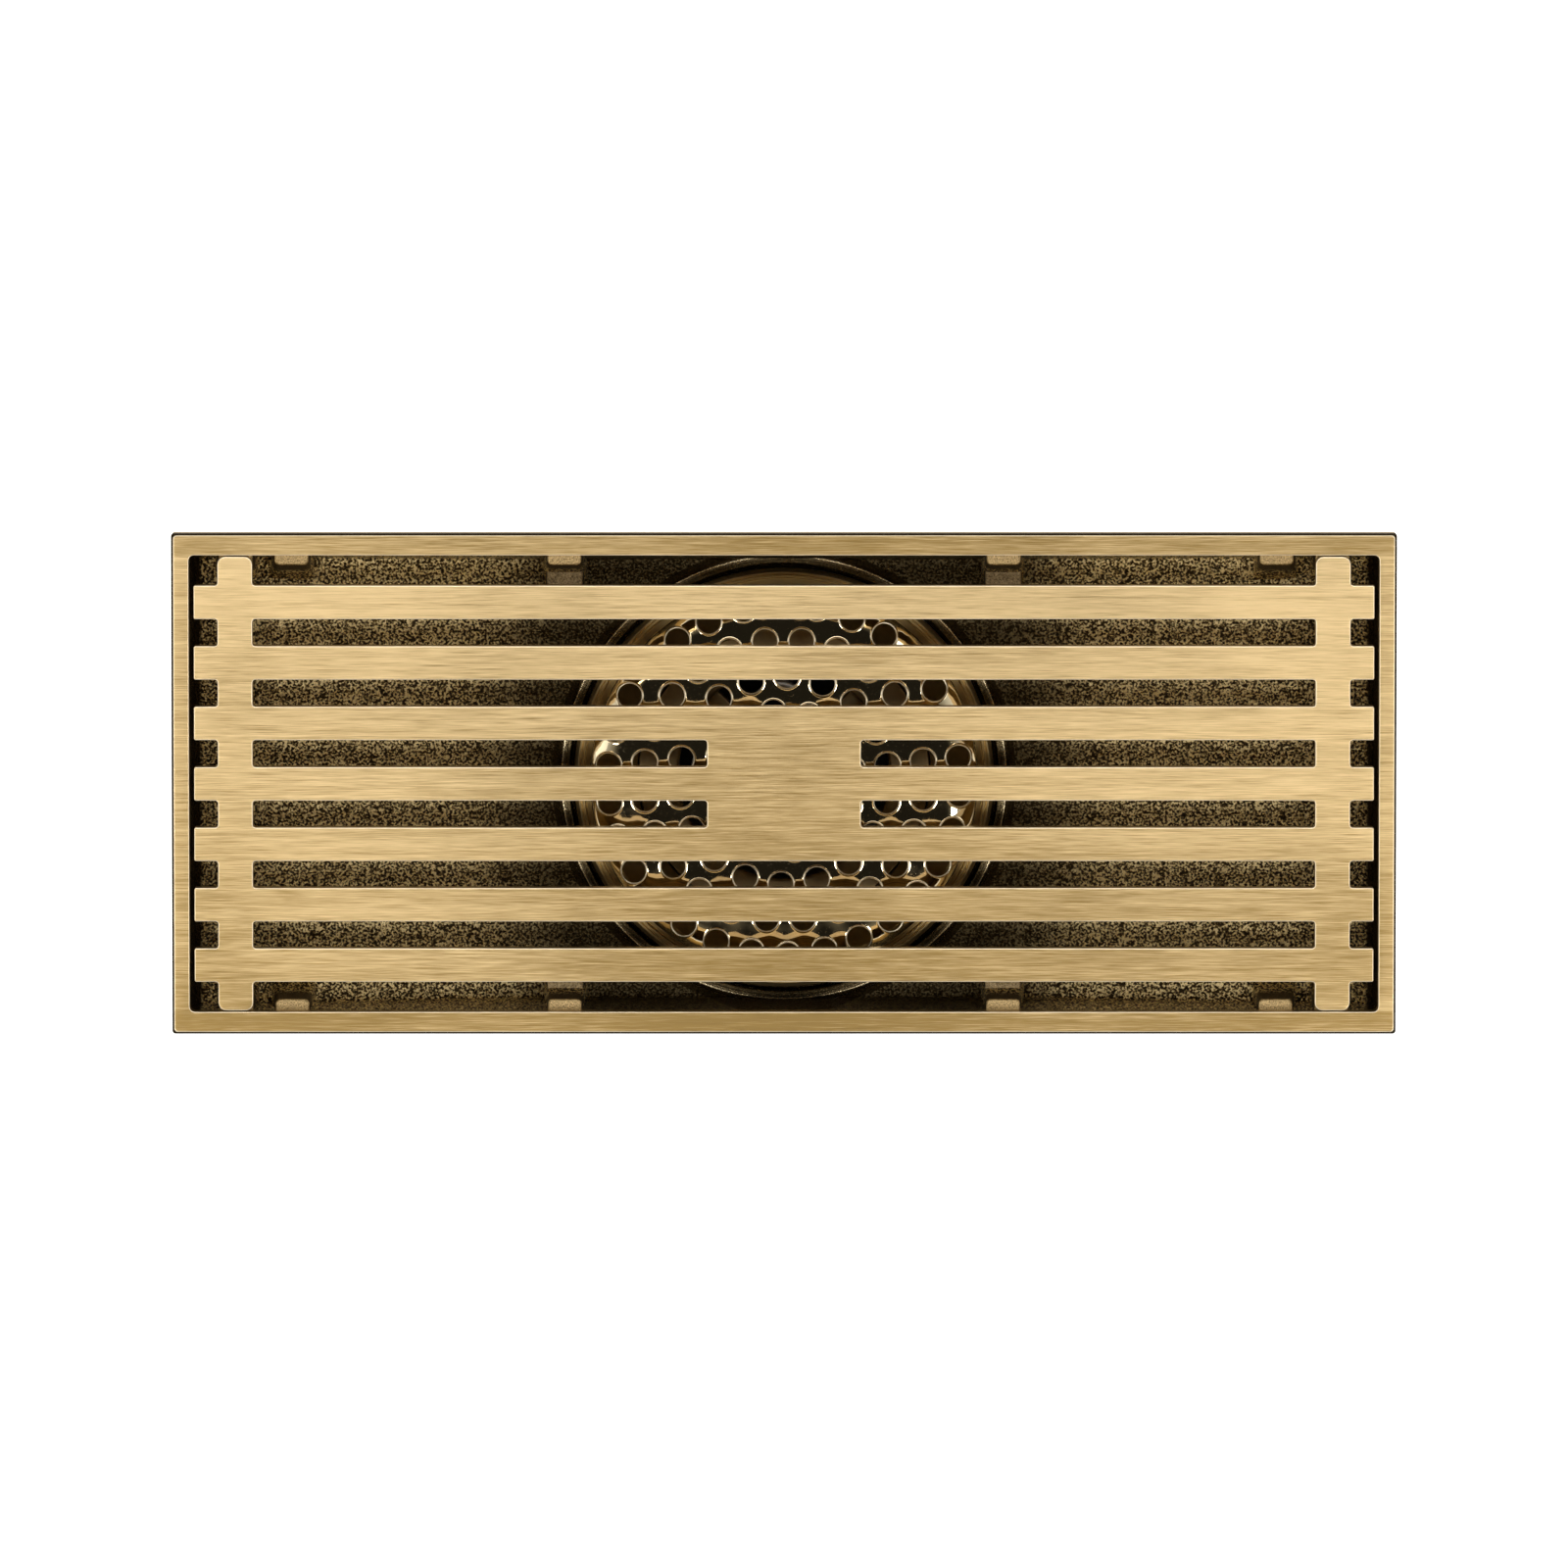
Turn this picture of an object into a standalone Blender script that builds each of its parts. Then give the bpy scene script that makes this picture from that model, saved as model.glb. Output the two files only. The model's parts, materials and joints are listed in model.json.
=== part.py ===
"""Rectangular floor drain: a cast brass tray with a lift-out slotted grate, a perforated hair
strainer and a removable odour trap, whose spring-closed valve shuts the outlet.

Metres, +Z up. The origin is the centre of the outlet's lower end, and +X runs along the bars.
Depths are measured down from the top face, which lies level with the finished floor.
"""

import math

import bmesh
import bpy
from mathutils import Matrix, Vector

MM = 0.001
TAU = math.tau

# Running and resting gaps
SEAT_GAP = 0.3 * MM
RUNNING_GAP = 0.3 * MM

# Tray casting
LENGTH = 300 * MM
WIDTH = 123 * MM
HEIGHT = 86 * MM
RIM_END = 4.3 * MM
RIM_SIDE = 5.45 * MM
RIM_BAND = 6 * MM
RIM_STEP = 1.5 * MM
RIM_CHAMFER = 0.4 * MM
POCKET_CORNER = 1.3 * MM
WALL_DRAFT = 0.15
FLOOR_DEPTH_END = 12 * MM
FLOOR_DEPTH_MIDDLE = 18.5 * MM
FLOOR_THICKNESS = 3 * MM
RECESS_WALL_GAP = 0.45 * MM
RECESS_DEPTH = 2 * MM
RECESS_SURROUND = 3 * MM
LAND_WIDTH = 2.7 * MM
BOSS_WALL = 2.9 * MM
LEDGE_WIDTH = 3.9 * MM
LEDGE_THICKNESS = 3 * MM
BOWL_RIM_HEIGHT = 3 * MM
BOWL_HEIGHT = 20 * MM
OUTLET_RADIUS = 35 * MM
OUTLET_WALL = 2.5 * MM

# Lugs and pads on the tray's long walls
LUG_WIDTH = 8.4 * MM
LUG_REACH = 2.6 * MM
LUG_FLARE = 1.2 * MM
LUG_BASE_REACH = 5.5 * MM
END_LUG_INSET = 25 * MM
MIDDLE_LUG_X = 53.8 * MM
PAD_WIDTH = 9 * MM
PAD_REACH = 10 * MM
PAD_DEPTH = 11.5 * MM

# Grate
BAR_COUNT = 7
BAR_WIDTH = 8.3 * MM
GRATE_THICKNESS = 5 * MM
GRATE_END_GAP = 1.2 * MM
GRATE_SIDE_GAP = 0.3 * MM
BAR_EDGE_GAP = 7.35 * MM
CROSSBAR_WIDTH = 8.6 * MM
CROSSBAR_INSET = 5.8 * MM
PLATE_LENGTH = 37.7 * MM
GRATE_CORNER = 1.0 * MM
GRATE_CHAMFER = 0.3 * MM

# Trap cup, with the seats for the strainer above and the core below
CUP_GAP = 1.2 * MM
CUP_PROUD = 0.5 * MM
CUP_FLANGE_WIDTH = 2.4 * MM
CUP_FLANGE_HEIGHT = 5.5 * MM
CUP_REGISTER_DEPTH = 2 * MM
CUP_SEAT_WIDTH = 3.3 * MM
CUP_CONE_HEIGHT = 11 * MM
CUP_WALL = 2.3 * MM
CUP_SOCKET_HEIGHT = 5 * MM
CUP_SHELF_WIDTH = 6.6 * MM
GASKET_THICKNESS = 1.5 * MM

# Strainer
STRAINER_GAP = 1.5 * MM
STRAINER_HEIGHT = 10.2 * MM
STRAINER_SHEET = 1 * MM
STRAINER_ROLL = 3 * MM
HOLE_RADIUS = 3 * MM
HOLE_EDGE = 4.6 * MM
HOLE_RING_PITCH = 8.75 * MM
HOLE_PHASE = math.radians(7.8)
HOLES_PER_RING_STEP = 6
HOLE_BRIDGE = 2 * MM

# Core: barrel, hub and arms
CORE_FLANGE_HEIGHT = 2.5 * MM
BARREL_RADIUS = 28.5 * MM
BARREL_WALL = 2.5 * MM
VALVE_ROOM = 20 * MM
HUB_RADIUS = 6.5 * MM
HUB_TOP_DEPTH = 40 * MM
HUB_HEIGHT = 10 * MM
ARM_DROP = 0.6 * MM
ARM_WIDTH = 5.2 * MM
ARM_HEIGHT = 7 * MM
ARM_ANGLE = math.radians(45)
EAR_WIDTH = 5 * MM
EAR_THICKNESS = 3 * MM
EAR_OFFSET = 11 * MM
EAR_TOP = 2.5 * MM

# Bail
BAIL_WIRE = 1.1 * MM
BAIL_PIVOT_DEPTH = 36 * MM
BAIL_ROOM = 8 * MM
BAIL_CORNER = 6 * MM

# Valve
STEM_RADIUS = 2.5 * MM
STEM_TOP_DEPTH = 22.3 * MM
COLLAR_RADIUS = 5 * MM
COLLAR_HEIGHT = 2 * MM
BUSH_WALL = 1.1 * MM
BUSH_FLANGE = 1 * MM
VALVE_PLATE = 2.5 * MM
VALVE_BOSS_RADIUS = 7 * MM
VALVE_BOSS_HEIGHT = 2 * MM
WASHER_RADIUS = 5.5 * MM
WASHER_THICKNESS = 1 * MM
NUT_ACROSS_FLATS = 9 * MM
NUT_HEIGHT = 4 * MM
STEM_TAIL = 1.3 * MM
KNOB_RADIUS = 7 * MM
KNOB_HEIGHT = 5 * MM
KNOB_ROOF = 1.5 * MM
KNOB_BASE = 3.2 * MM
SPRING_WIRE = 0.45 * MM
SPRING_TURNS = 6
SPRING_GAP = 1.2 * MM

# Facets on round pieces
FACETS = 48
SMALL_FACETS = 20
HOLE_FACETS = 8
CORNER_STEPS = 3
SPRING_STEPS = 12
WELD = 0.001 * MM

# Places that follow from the sizes above
INNER_LENGTH_HALF = LENGTH / 2 - RIM_END
INNER_WIDTH_HALF = WIDTH / 2 - RIM_SIDE
POCKET_DEPTH = GRATE_THICKNESS + SEAT_GAP
RECESS_RADIUS = INNER_WIDTH_HALF - RECESS_WALL_GAP
LEVEL_X = RECESS_RADIUS + RECESS_SURROUND
BORE_RADIUS = RECESS_RADIUS - LAND_WIDTH
BOSS_RADIUS = RECESS_RADIUS + BOSS_WALL
LEDGE_RADIUS = BORE_RADIUS - LEDGE_WIDTH
OUTLET_BORE = OUTLET_RADIUS - OUTLET_WALL
LAND_DEPTH = FLOOR_DEPTH_MIDDLE + RECESS_DEPTH
CUP_RADIUS = BORE_RADIUS - CUP_GAP
REGISTER_RADIUS = CUP_RADIUS - CUP_FLANGE_WIDTH
CUP_TOP_DEPTH = LAND_DEPTH - CUP_PROUD
CUP_SEAT_DEPTH = CUP_TOP_DEPTH + CUP_REGISTER_DEPTH
CUP_FLANGE_DEPTH = CUP_TOP_DEPTH + CUP_FLANGE_HEIGHT
LEDGE_DEPTH = CUP_FLANGE_DEPTH + GASKET_THICKNESS + 2 * SEAT_GAP
BOWL_TOP_DEPTH = LEDGE_DEPTH + LEDGE_THICKNESS
CONE_RADIUS = REGISTER_RADIUS - CUP_SEAT_WIDTH
SOCKET_DEPTH = CUP_SEAT_DEPTH + CUP_CONE_HEIGHT
SHELF_DEPTH = SOCKET_DEPTH + CUP_SOCKET_HEIGHT
SHELF_RADIUS = BARREL_RADIUS + CUP_GAP
SOCKET_RADIUS = SHELF_RADIUS + CUP_SHELF_WIDTH
STRAINER_RADIUS = REGISTER_RADIUS - STRAINER_GAP
STRAINER_BASE_DEPTH = CUP_SEAT_DEPTH - SEAT_GAP
STRAINER_TOP_DEPTH = STRAINER_BASE_DEPTH - STRAINER_HEIGHT
CORE_FLANGE_DEPTH = SHELF_DEPTH - GASKET_THICKNESS - 2 * SEAT_GAP
BARREL_BORE = BARREL_RADIUS - BARREL_WALL
BAIL_REACH = BARREL_BORE - BAIL_ROOM
BARREL_END_DEPTH = HEIGHT - VALVE_ROOM
ARM_TOP_DEPTH = HUB_TOP_DEPTH + ARM_DROP
BUSH_RADIUS = STEM_RADIUS + RUNNING_GAP + BUSH_WALL
VALVE_GASKET_DEPTH = BARREL_END_DEPTH + SEAT_GAP
VALVE_DISC_DEPTH = VALVE_GASKET_DEPTH + GASKET_THICKNESS + SEAT_GAP
WASHER_DEPTH = VALVE_DISC_DEPTH + VALVE_PLATE + VALVE_BOSS_HEIGHT + SEAT_GAP
NUT_DEPTH = WASHER_DEPTH + WASHER_THICKNESS + SEAT_GAP
STEM_END_DEPTH = NUT_DEPTH + NUT_HEIGHT + STEM_TAIL
KNOB_TOP_DEPTH = STEM_TOP_DEPTH - SEAT_GAP - KNOB_ROOF
KNOB_BASE_DEPTH = KNOB_TOP_DEPTH + KNOB_HEIGHT
BUSH_TOP_DEPTH = HUB_TOP_DEPTH - SEAT_GAP - BUSH_FLANGE
SPRING_RADIUS = STEM_RADIUS + SPRING_GAP + SPRING_WIRE
GRATE_HALF_LENGTH = INNER_LENGTH_HALF - GRATE_END_GAP
CROSSBAR_OUTER = GRATE_HALF_LENGTH - CROSSBAR_INSET
CROSSBAR_INNER = CROSSBAR_OUTER - CROSSBAR_WIDTH
CROSSBAR_HALF_LENGTH = INNER_WIDTH_HALF - GRATE_SIDE_GAP
BAR_PITCH = (2 * (INNER_WIDTH_HALF - BAR_EDGE_GAP) - BAR_WIDTH) / (BAR_COUNT - 1)


def clear_scene():
    for thing in list(bpy.data.objects):
        bpy.data.objects.remove(thing)


def metal(name, colour, roughness, metallic=1.0):
    """A Principled material of one colour."""
    material = bpy.data.materials.new(name)
    material.use_nodes = True
    shader = material.node_tree.nodes["Principled BSDF"]
    shader.inputs["Base Color"].default_value = (*colour, 1.0)
    shader.inputs["Roughness"].default_value = roughness
    shader.inputs["Metallic"].default_value = metallic
    return material


def added(name, data, material=None, parent=None):
    """Puts mesh or curve data into the scene as an object of that name."""
    thing = bpy.data.objects.new(name, data)
    bpy.context.scene.collection.objects.link(thing)
    if material:
        data.materials.append(material)
    if parent:
        thing.parent = parent
    return thing


def finished(name, shape, material=None, parent=None):
    """Turns a bmesh into a smooth-shaded object whose faces point out."""
    bmesh.ops.recalc_face_normals(shape, faces=shape.faces)
    mesh = bpy.data.meshes.new(name)
    shape.to_mesh(mesh)
    shape.free()
    mesh.shade_smooth()
    mesh.set_sharp_from_angle(angle=math.radians(35))
    return added(name, mesh, material, parent)


def turned(name, profile, material=None, parent=None, ring=False, facets=FACETS):
    """A lathe-turned solid from (radius, depth) points. A ring's last point joins its first;
    otherwise the two ends are closed with flat faces."""
    shape = bmesh.new()
    corners = [shape.verts.new((radius, 0, HEIGHT - depth)) for radius, depth in profile]
    edges = [shape.edges.new(pair) for pair in zip(corners, corners[1:])]
    if ring:
        edges.append(shape.edges.new((corners[-1], corners[0])))
    bmesh.ops.spin(shape, geom=corners + edges, cent=(0, 0, 0), axis=(0, 0, 1),
                   angle=TAU, steps=facets, use_merge=True)
    bmesh.ops.remove_doubles(shape, verts=shape.verts, dist=WELD)
    if not ring:
        bmesh.ops.holes_fill(shape, edges=shape.edges, sides=0)
    return finished(name, shape, material, parent)


def loft_into(shape, loops):
    """Adds a closed solid that joins loops of equally many points, capped at both ends."""
    rings = [[shape.verts.new(point) for point in loop] for loop in loops]
    for lower, upper in zip(rings, rings[1:]):
        for index in range(len(lower)):
            after = (index + 1) % len(lower)
            shape.faces.new((lower[index], lower[after], upper[after], upper[index]))
    shape.faces.new(reversed(rings[0]))
    shape.faces.new(rings[-1])


def hull_into(shape, points):
    """Adds the closed convex solid that wraps the points."""
    corners = [shape.verts.new(point) for point in points]
    result = bmesh.ops.convex_hull(shape, input=corners)
    inner = [item for item in result["geom_interior"] if isinstance(item, bmesh.types.BMVert)]
    bmesh.ops.delete(shape, geom=inner, context="VERTS")


def block_points(low, high):
    """The eight corners of a box."""
    return [(x, y, z) for x in (low[0], high[0]) for y in (low[1], high[1])
            for z in (low[2], high[2])]


def combined(thing, tool, operation):
    """Cuts or joins with another object, which stays in the file as a hidden guide."""
    tool.hide_render = True
    tool.display_type = "WIRE"
    modifier = thing.modifiers.new(tool.name, "BOOLEAN")
    modifier.operation = operation
    modifier.object = tool


def rounded(points, radius, shrink=0.0):
    """An outline of square corners, moved inwards by shrink and rounded. Points run anticlockwise."""
    outline = []
    count = len(points)
    for index, (x, y) in enumerate(points):
        here = Vector((x, y))
        before = (here - Vector(points[index - 1])).normalized()
        after = (Vector(points[(index + 1) % count]) - here).normalized()
        inwards = Vector((-before.y, before.x)) + Vector((-after.y, after.x))
        convex = before.x * after.y - before.y * after.x > 0
        reach = radius - shrink if convex else radius + shrink
        corner = here + shrink * inwards
        side = 1 if convex else -1
        centre = corner + side * reach * inwards
        start = corner - reach * before - centre
        for step in range(CORNER_STEPS + 1):
            turn = Matrix.Rotation(side * TAU / 4 * step / CORNER_STEPS, 2)
            outline.append(centre + turn @ start)
    return outline


def at_depth(outline, depth):
    return [(point.x, point.y, HEIGHT - depth) for point in outline]


def floor_depth(x):
    """Depth of the tray floor, which falls from both ends to the level surround of the recess."""
    run = max(abs(x) - LEVEL_X, 0) / (INNER_LENGTH_HALF - LEVEL_X)
    return FLOOR_DEPTH_MIDDLE + run * (FLOOR_DEPTH_END - FLOOR_DEPTH_MIDDLE)


def wall_inset(depth):
    """How far the tray's walls lean in: upright beside the grate, drafted below it."""
    return WALL_DRAFT * max(depth - POCKET_DEPTH, 0)


def wall_y(depth):
    """Half width of the tray between its long walls."""
    return INNER_WIDTH_HALF - wall_inset(depth)


def rectangle(half_length, half_width):
    return [(-half_length, -half_width), (half_length, -half_width),
            (half_length, half_width), (-half_length, half_width)]


def tray_outside():
    """The rim band with its chamfered top edge."""
    shape = bmesh.new()
    corners = [Vector(point) for point in rectangle(LENGTH / 2, WIDTH / 2)]
    top = [Vector(point) for point in rectangle(LENGTH / 2 - RIM_CHAMFER, WIDTH / 2 - RIM_CHAMFER)]
    loft_into(shape, [at_depth(corners, RIM_BAND), at_depth(corners, RIM_CHAMFER), at_depth(top, 0)])
    return shape


def tray_underside():
    """The body below the rim band: its floor follows the fall of the tray."""
    shape = bmesh.new()
    half_length = LENGTH / 2 - RIM_STEP
    half_width = WIDTH / 2 - RIM_STEP
    levels = ((half_length, RIM_BAND / 2), (half_length, FLOOR_DEPTH_END + FLOOR_THICKNESS),
              (BOSS_RADIUS + RECESS_SURROUND, FLOOR_DEPTH_MIDDLE + FLOOR_THICKNESS))
    hull_into(shape, [(sx * x, sy * half_width, HEIGHT - depth)
                      for x, depth in levels for sx in (-1, 1) for sy in (-1, 1)])
    return finished("tray_underside", shape)


def tray_pocket():
    """The open space of the tray, with drafted walls and a floor falling to the middle."""
    shape = bmesh.new()
    points = []
    for depth in (-RIM_BAND, POCKET_DEPTH, FLOOR_DEPTH_END):
        inset = wall_inset(depth)
        frame = rectangle(INNER_LENGTH_HALF - inset, INNER_WIDTH_HALF - inset)
        points += at_depth(rounded(frame, POCKET_CORNER), depth)
    points += [(sx * LEVEL_X, sy * wall_y(FLOOR_DEPTH_MIDDLE), HEIGHT - FLOOR_DEPTH_MIDDLE)
               for sx in (-1, 1) for sy in (-1, 1)]
    hull_into(shape, points)
    return finished("tray_pocket", shape)


def tray_lugs():
    """Flared lugs against the long walls. Those at the crossbars carry the grate."""
    shape = bmesh.new()
    crossbar_x = (CROSSBAR_OUTER + CROSSBAR_INNER) / 2
    for x in (MIDDLE_LUG_X, INNER_LENGTH_HALF - END_LUG_INSET, crossbar_x):
        base = floor_depth(x) + FLOOR_THICKNESS / 2
        for sx in (-1, 1):
            for sy in (-1, 1):
                points = []
                for depth, half, reach in ((POCKET_DEPTH, LUG_WIDTH / 2, LUG_REACH),
                                           (base, LUG_WIDTH / 2 + LUG_FLARE, LUG_BASE_REACH)):
                    for y in (wall_y(depth) - reach, INNER_WIDTH_HALF + RIM_STEP / 2):
                        points += [(sx * x - half, sy * y, HEIGHT - depth),
                                   (sx * x + half, sy * y, HEIGHT - depth)]
                hull_into(shape, points)
    return finished("tray_lugs", shape)


def tray_pads():
    """Lower pads in front of the middle lugs."""
    shape = bmesh.new()
    base = FLOOR_DEPTH_MIDDLE + FLOOR_THICKNESS / 2
    for sx in (-1, 1):
        for sy in (-1, 1):
            low = (sx * MIDDLE_LUG_X - PAD_WIDTH / 2, sy * (INNER_WIDTH_HALF - PAD_REACH),
                   HEIGHT - base)
            high = (sx * MIDDLE_LUG_X + PAD_WIDTH / 2, sy * INNER_WIDTH_HALF, HEIGHT - PAD_DEPTH)
            hull_into(shape, block_points(low, high))
    return finished("tray_pads", shape)


def drain_body(material):
    """The upper casting: rim, sloped floor, and the turned recess down to the cup's ledge."""
    body = finished("drain_body", tray_outside(), material)
    combined(body, tray_underside(), "UNION")
    outside = turned("boss_outside", [
        (BOSS_RADIUS, FLOOR_DEPTH_MIDDLE + FLOOR_THICKNESS / 2),
        (BOSS_RADIUS, BOWL_TOP_DEPTH),
    ])
    combined(body, outside, "UNION")
    combined(body, tray_pocket(), "DIFFERENCE")
    inside = turned("boss_inside", [
        (RECESS_RADIUS, FLOOR_DEPTH_MIDDLE - RECESS_DEPTH),
        (RECESS_RADIUS, LAND_DEPTH),
        (BORE_RADIUS, LAND_DEPTH),
        (BORE_RADIUS, LEDGE_DEPTH),
        (LEDGE_RADIUS, LEDGE_DEPTH),
        (LEDGE_RADIUS, BOWL_TOP_DEPTH + LEDGE_THICKNESS),
    ])
    combined(body, inside, "DIFFERENCE")
    combined(body, tray_lugs(), "UNION")
    combined(body, tray_pads(), "UNION")
    return body


def outlet_bowl(material):
    """The lower casting: a funnel from the boss to the round outlet."""
    top = BOWL_TOP_DEPTH + SEAT_GAP
    shoulder = top + BOWL_RIM_HEIGHT
    neck = shoulder + BOWL_HEIGHT
    return turned("outlet_bowl", [
        (BOSS_RADIUS, top),
        (BOSS_RADIUS, shoulder),
        (OUTLET_RADIUS, neck),
        (OUTLET_RADIUS, HEIGHT),
        (OUTLET_BORE, HEIGHT),
        (OUTLET_BORE, neck - OUTLET_WALL),
        (LEDGE_RADIUS, top + OUTLET_WALL),
        (LEDGE_RADIUS, top),
    ], material, ring=True)


def bar_y(index):
    return (index - (BAR_COUNT - 1) / 2) * BAR_PITCH


def grate_outline():
    """The square-cornered outline of the grate, anticlockwise from its lower right crossbar."""
    half_bar = BAR_WIDTH / 2
    right = [(CROSSBAR_INNER, -CROSSBAR_HALF_LENGTH), (CROSSBAR_OUTER, -CROSSBAR_HALF_LENGTH)]
    for index in range(BAR_COUNT):
        low = bar_y(index) - half_bar
        high = bar_y(index) + half_bar
        right += [(CROSSBAR_OUTER, low), (GRATE_HALF_LENGTH, low),
                  (GRATE_HALF_LENGTH, high), (CROSSBAR_OUTER, high)]
    right += [(CROSSBAR_OUTER, CROSSBAR_HALF_LENGTH), (CROSSBAR_INNER, CROSSBAR_HALF_LENGTH),
              (CROSSBAR_INNER, bar_y(BAR_COUNT - 1) + half_bar)]
    right.insert(0, (CROSSBAR_INNER, bar_y(0) - half_bar))
    left = [(-x, y) for x, y in reversed(right)]
    return right + left


def grate_slots():
    """Centre, half length and half width of each slot. The plate splits the middle ones."""
    slots = []
    half_width = (BAR_PITCH - BAR_WIDTH) / 2
    for index in range(BAR_COUNT - 1):
        y = (bar_y(index) + bar_y(index + 1)) / 2
        if abs(y) < BAR_PITCH:
            half_length = (CROSSBAR_INNER - PLATE_LENGTH / 2) / 2
            x = PLATE_LENGTH / 2 + half_length
            slots += [(-x, y, half_length, half_width), (x, y, half_length, half_width)]
        else:
            slots.append((0, y, CROSSBAR_INNER, half_width))
    return slots


def grate(material, parent):
    """One flat plate: bars, crossbars and centre plate, with softened top edges."""
    shape = bmesh.new()
    outline = grate_outline()
    loft_into(shape, [
        at_depth(rounded(outline, GRATE_CORNER), GRATE_THICKNESS),
        at_depth(rounded(outline, GRATE_CORNER), GRATE_CHAMFER),
        at_depth(rounded(outline, GRATE_CORNER, GRATE_CHAMFER), 0),
    ])
    plate = finished("grate", shape, material, parent)
    cutter = bmesh.new()
    for x, y, half_length, half_width in grate_slots():
        frame = [(x + corner[0], y + corner[1]) for corner in rectangle(half_length, half_width)]
        loft_into(cutter, [
            at_depth(rounded(frame, GRATE_CORNER), 2 * GRATE_THICKNESS),
            at_depth(rounded(frame, GRATE_CORNER), GRATE_CHAMFER),
            at_depth(rounded(frame, GRATE_CORNER, -2 * GRATE_CHAMFER), -GRATE_CHAMFER),
        ])
    combined(plate, finished("grate_slots", cutter), "DIFFERENCE")
    return plate


def strainer_holes():
    """Drills for every ring of holes. Each ring inwards has six holes fewer."""
    shape = bmesh.new()
    outer_ring = STRAINER_RADIUS - HOLE_EDGE
    inner_limit = 2 * HOLE_RADIUS + HOLE_BRIDGE
    rings = int((outer_ring - inner_limit) / HOLE_RING_PITCH) + 1
    for ring in range(rings):
        radius = outer_ring - ring * HOLE_RING_PITCH
        holes = HOLES_PER_RING_STEP * (rings - ring)
        for hole in range(holes):
            angle = HOLE_PHASE + TAU * hole / holes
            centre = Vector((radius * math.cos(angle), radius * math.sin(angle)))
            drill = [centre + HOLE_RADIUS * Vector((math.cos(turn), math.sin(turn)))
                     for turn in (TAU * step / HOLE_FACETS for step in range(HOLE_FACETS))]
            loft_into(shape, [
                at_depth(drill, STRAINER_TOP_DEPTH + 2 * STRAINER_SHEET),
                at_depth(drill, STRAINER_TOP_DEPTH - STRAINER_SHEET),
            ])
    return finished("strainer_holes", shape)


def strainer_cap(material, parent):
    """A pressed sheet cap: flat perforated top, rolled shoulder and plain skirt."""
    flat = STRAINER_RADIUS - STRAINER_ROLL
    inner_roll = STRAINER_ROLL - STRAINER_SHEET
    turns = [TAU / 4 * step / CORNER_STEPS for step in range(CORNER_STEPS + 1)]
    shoulder = STRAINER_TOP_DEPTH + STRAINER_ROLL
    outside = [(flat + STRAINER_ROLL * math.sin(turn), shoulder - STRAINER_ROLL * math.cos(turn))
               for turn in turns]
    inside = [(flat + inner_roll * math.sin(turn), shoulder - inner_roll * math.cos(turn))
              for turn in turns]
    skirt = [(STRAINER_RADIUS, STRAINER_BASE_DEPTH),
             (STRAINER_RADIUS - STRAINER_SHEET, STRAINER_BASE_DEPTH)]
    cap = turned("strainer_cap", outside + skirt + inside[::-1], material, parent)
    combined(cap, strainer_holes(), "DIFFERENCE")
    return cap


def trap_cup(material, parent):
    """The turned cup: flange, strainer seat, cone and the socket that holds the core."""
    cone_wall = CONE_RADIUS + CUP_WALL
    return turned("trap_cup", [
        (CUP_RADIUS, CUP_TOP_DEPTH),
        (CUP_RADIUS, CUP_FLANGE_DEPTH),
        (cone_wall, CUP_FLANGE_DEPTH),
        (SOCKET_RADIUS + CUP_WALL, SOCKET_DEPTH + CUP_WALL),
        (SOCKET_RADIUS + CUP_WALL, SHELF_DEPTH + CUP_WALL),
        (SHELF_RADIUS, SHELF_DEPTH + CUP_WALL),
        (SHELF_RADIUS, SHELF_DEPTH),
        (SOCKET_RADIUS, SHELF_DEPTH),
        (SOCKET_RADIUS, SOCKET_DEPTH),
        (CONE_RADIUS, CUP_SEAT_DEPTH),
        (REGISTER_RADIUS, CUP_SEAT_DEPTH),
        (REGISTER_RADIUS, CUP_TOP_DEPTH),
    ], material, parent, ring=True)


def flat_ring(name, inner, outer, depth, thickness, material, parent, facets=FACETS):
    """A washer-shaped piece whose upper face is at depth."""
    return turned(name, [
        (outer, depth),
        (outer, depth + thickness),
        (inner, depth + thickness),
        (inner, depth),
    ], material, parent, ring=True, facets=facets)


def core_arms():
    """Four arms in one cross, whose ends reach into the barrel's wall."""
    half = ARM_WIDTH / 2
    reach = BARREL_BORE + BARREL_WALL / 2
    quarter = [Vector((reach, -half)), Vector((reach, half)), Vector((half, half))]
    cross = [Matrix.Rotation(ARM_ANGLE + TAU / 4 * arm, 2) @ point
             for arm in range(4) for point in quarter]
    shape = bmesh.new()
    loft_into(shape, [at_depth(cross, ARM_TOP_DEPTH + ARM_HEIGHT), at_depth(cross, ARM_TOP_DEPTH)])
    return finished("core_arms", shape)


def bail_ears():
    """Two ears on opposite arms, which hold the bail's ends."""
    shape = bmesh.new()
    turn = Matrix.Rotation(ARM_ANGLE, 3, "Z")
    for side in (-1, 1):
        low = (side * EAR_OFFSET, -EAR_WIDTH / 2, HEIGHT - ARM_TOP_DEPTH - ARM_HEIGHT / 2)
        high = (side * (EAR_OFFSET + EAR_THICKNESS), EAR_WIDTH / 2,
                HEIGHT - BAIL_PIVOT_DEPTH + EAR_TOP)
        hull_into(shape, [turn @ Vector(corner) for corner in block_points(low, high)])
    return finished("bail_ears", shape)


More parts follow.
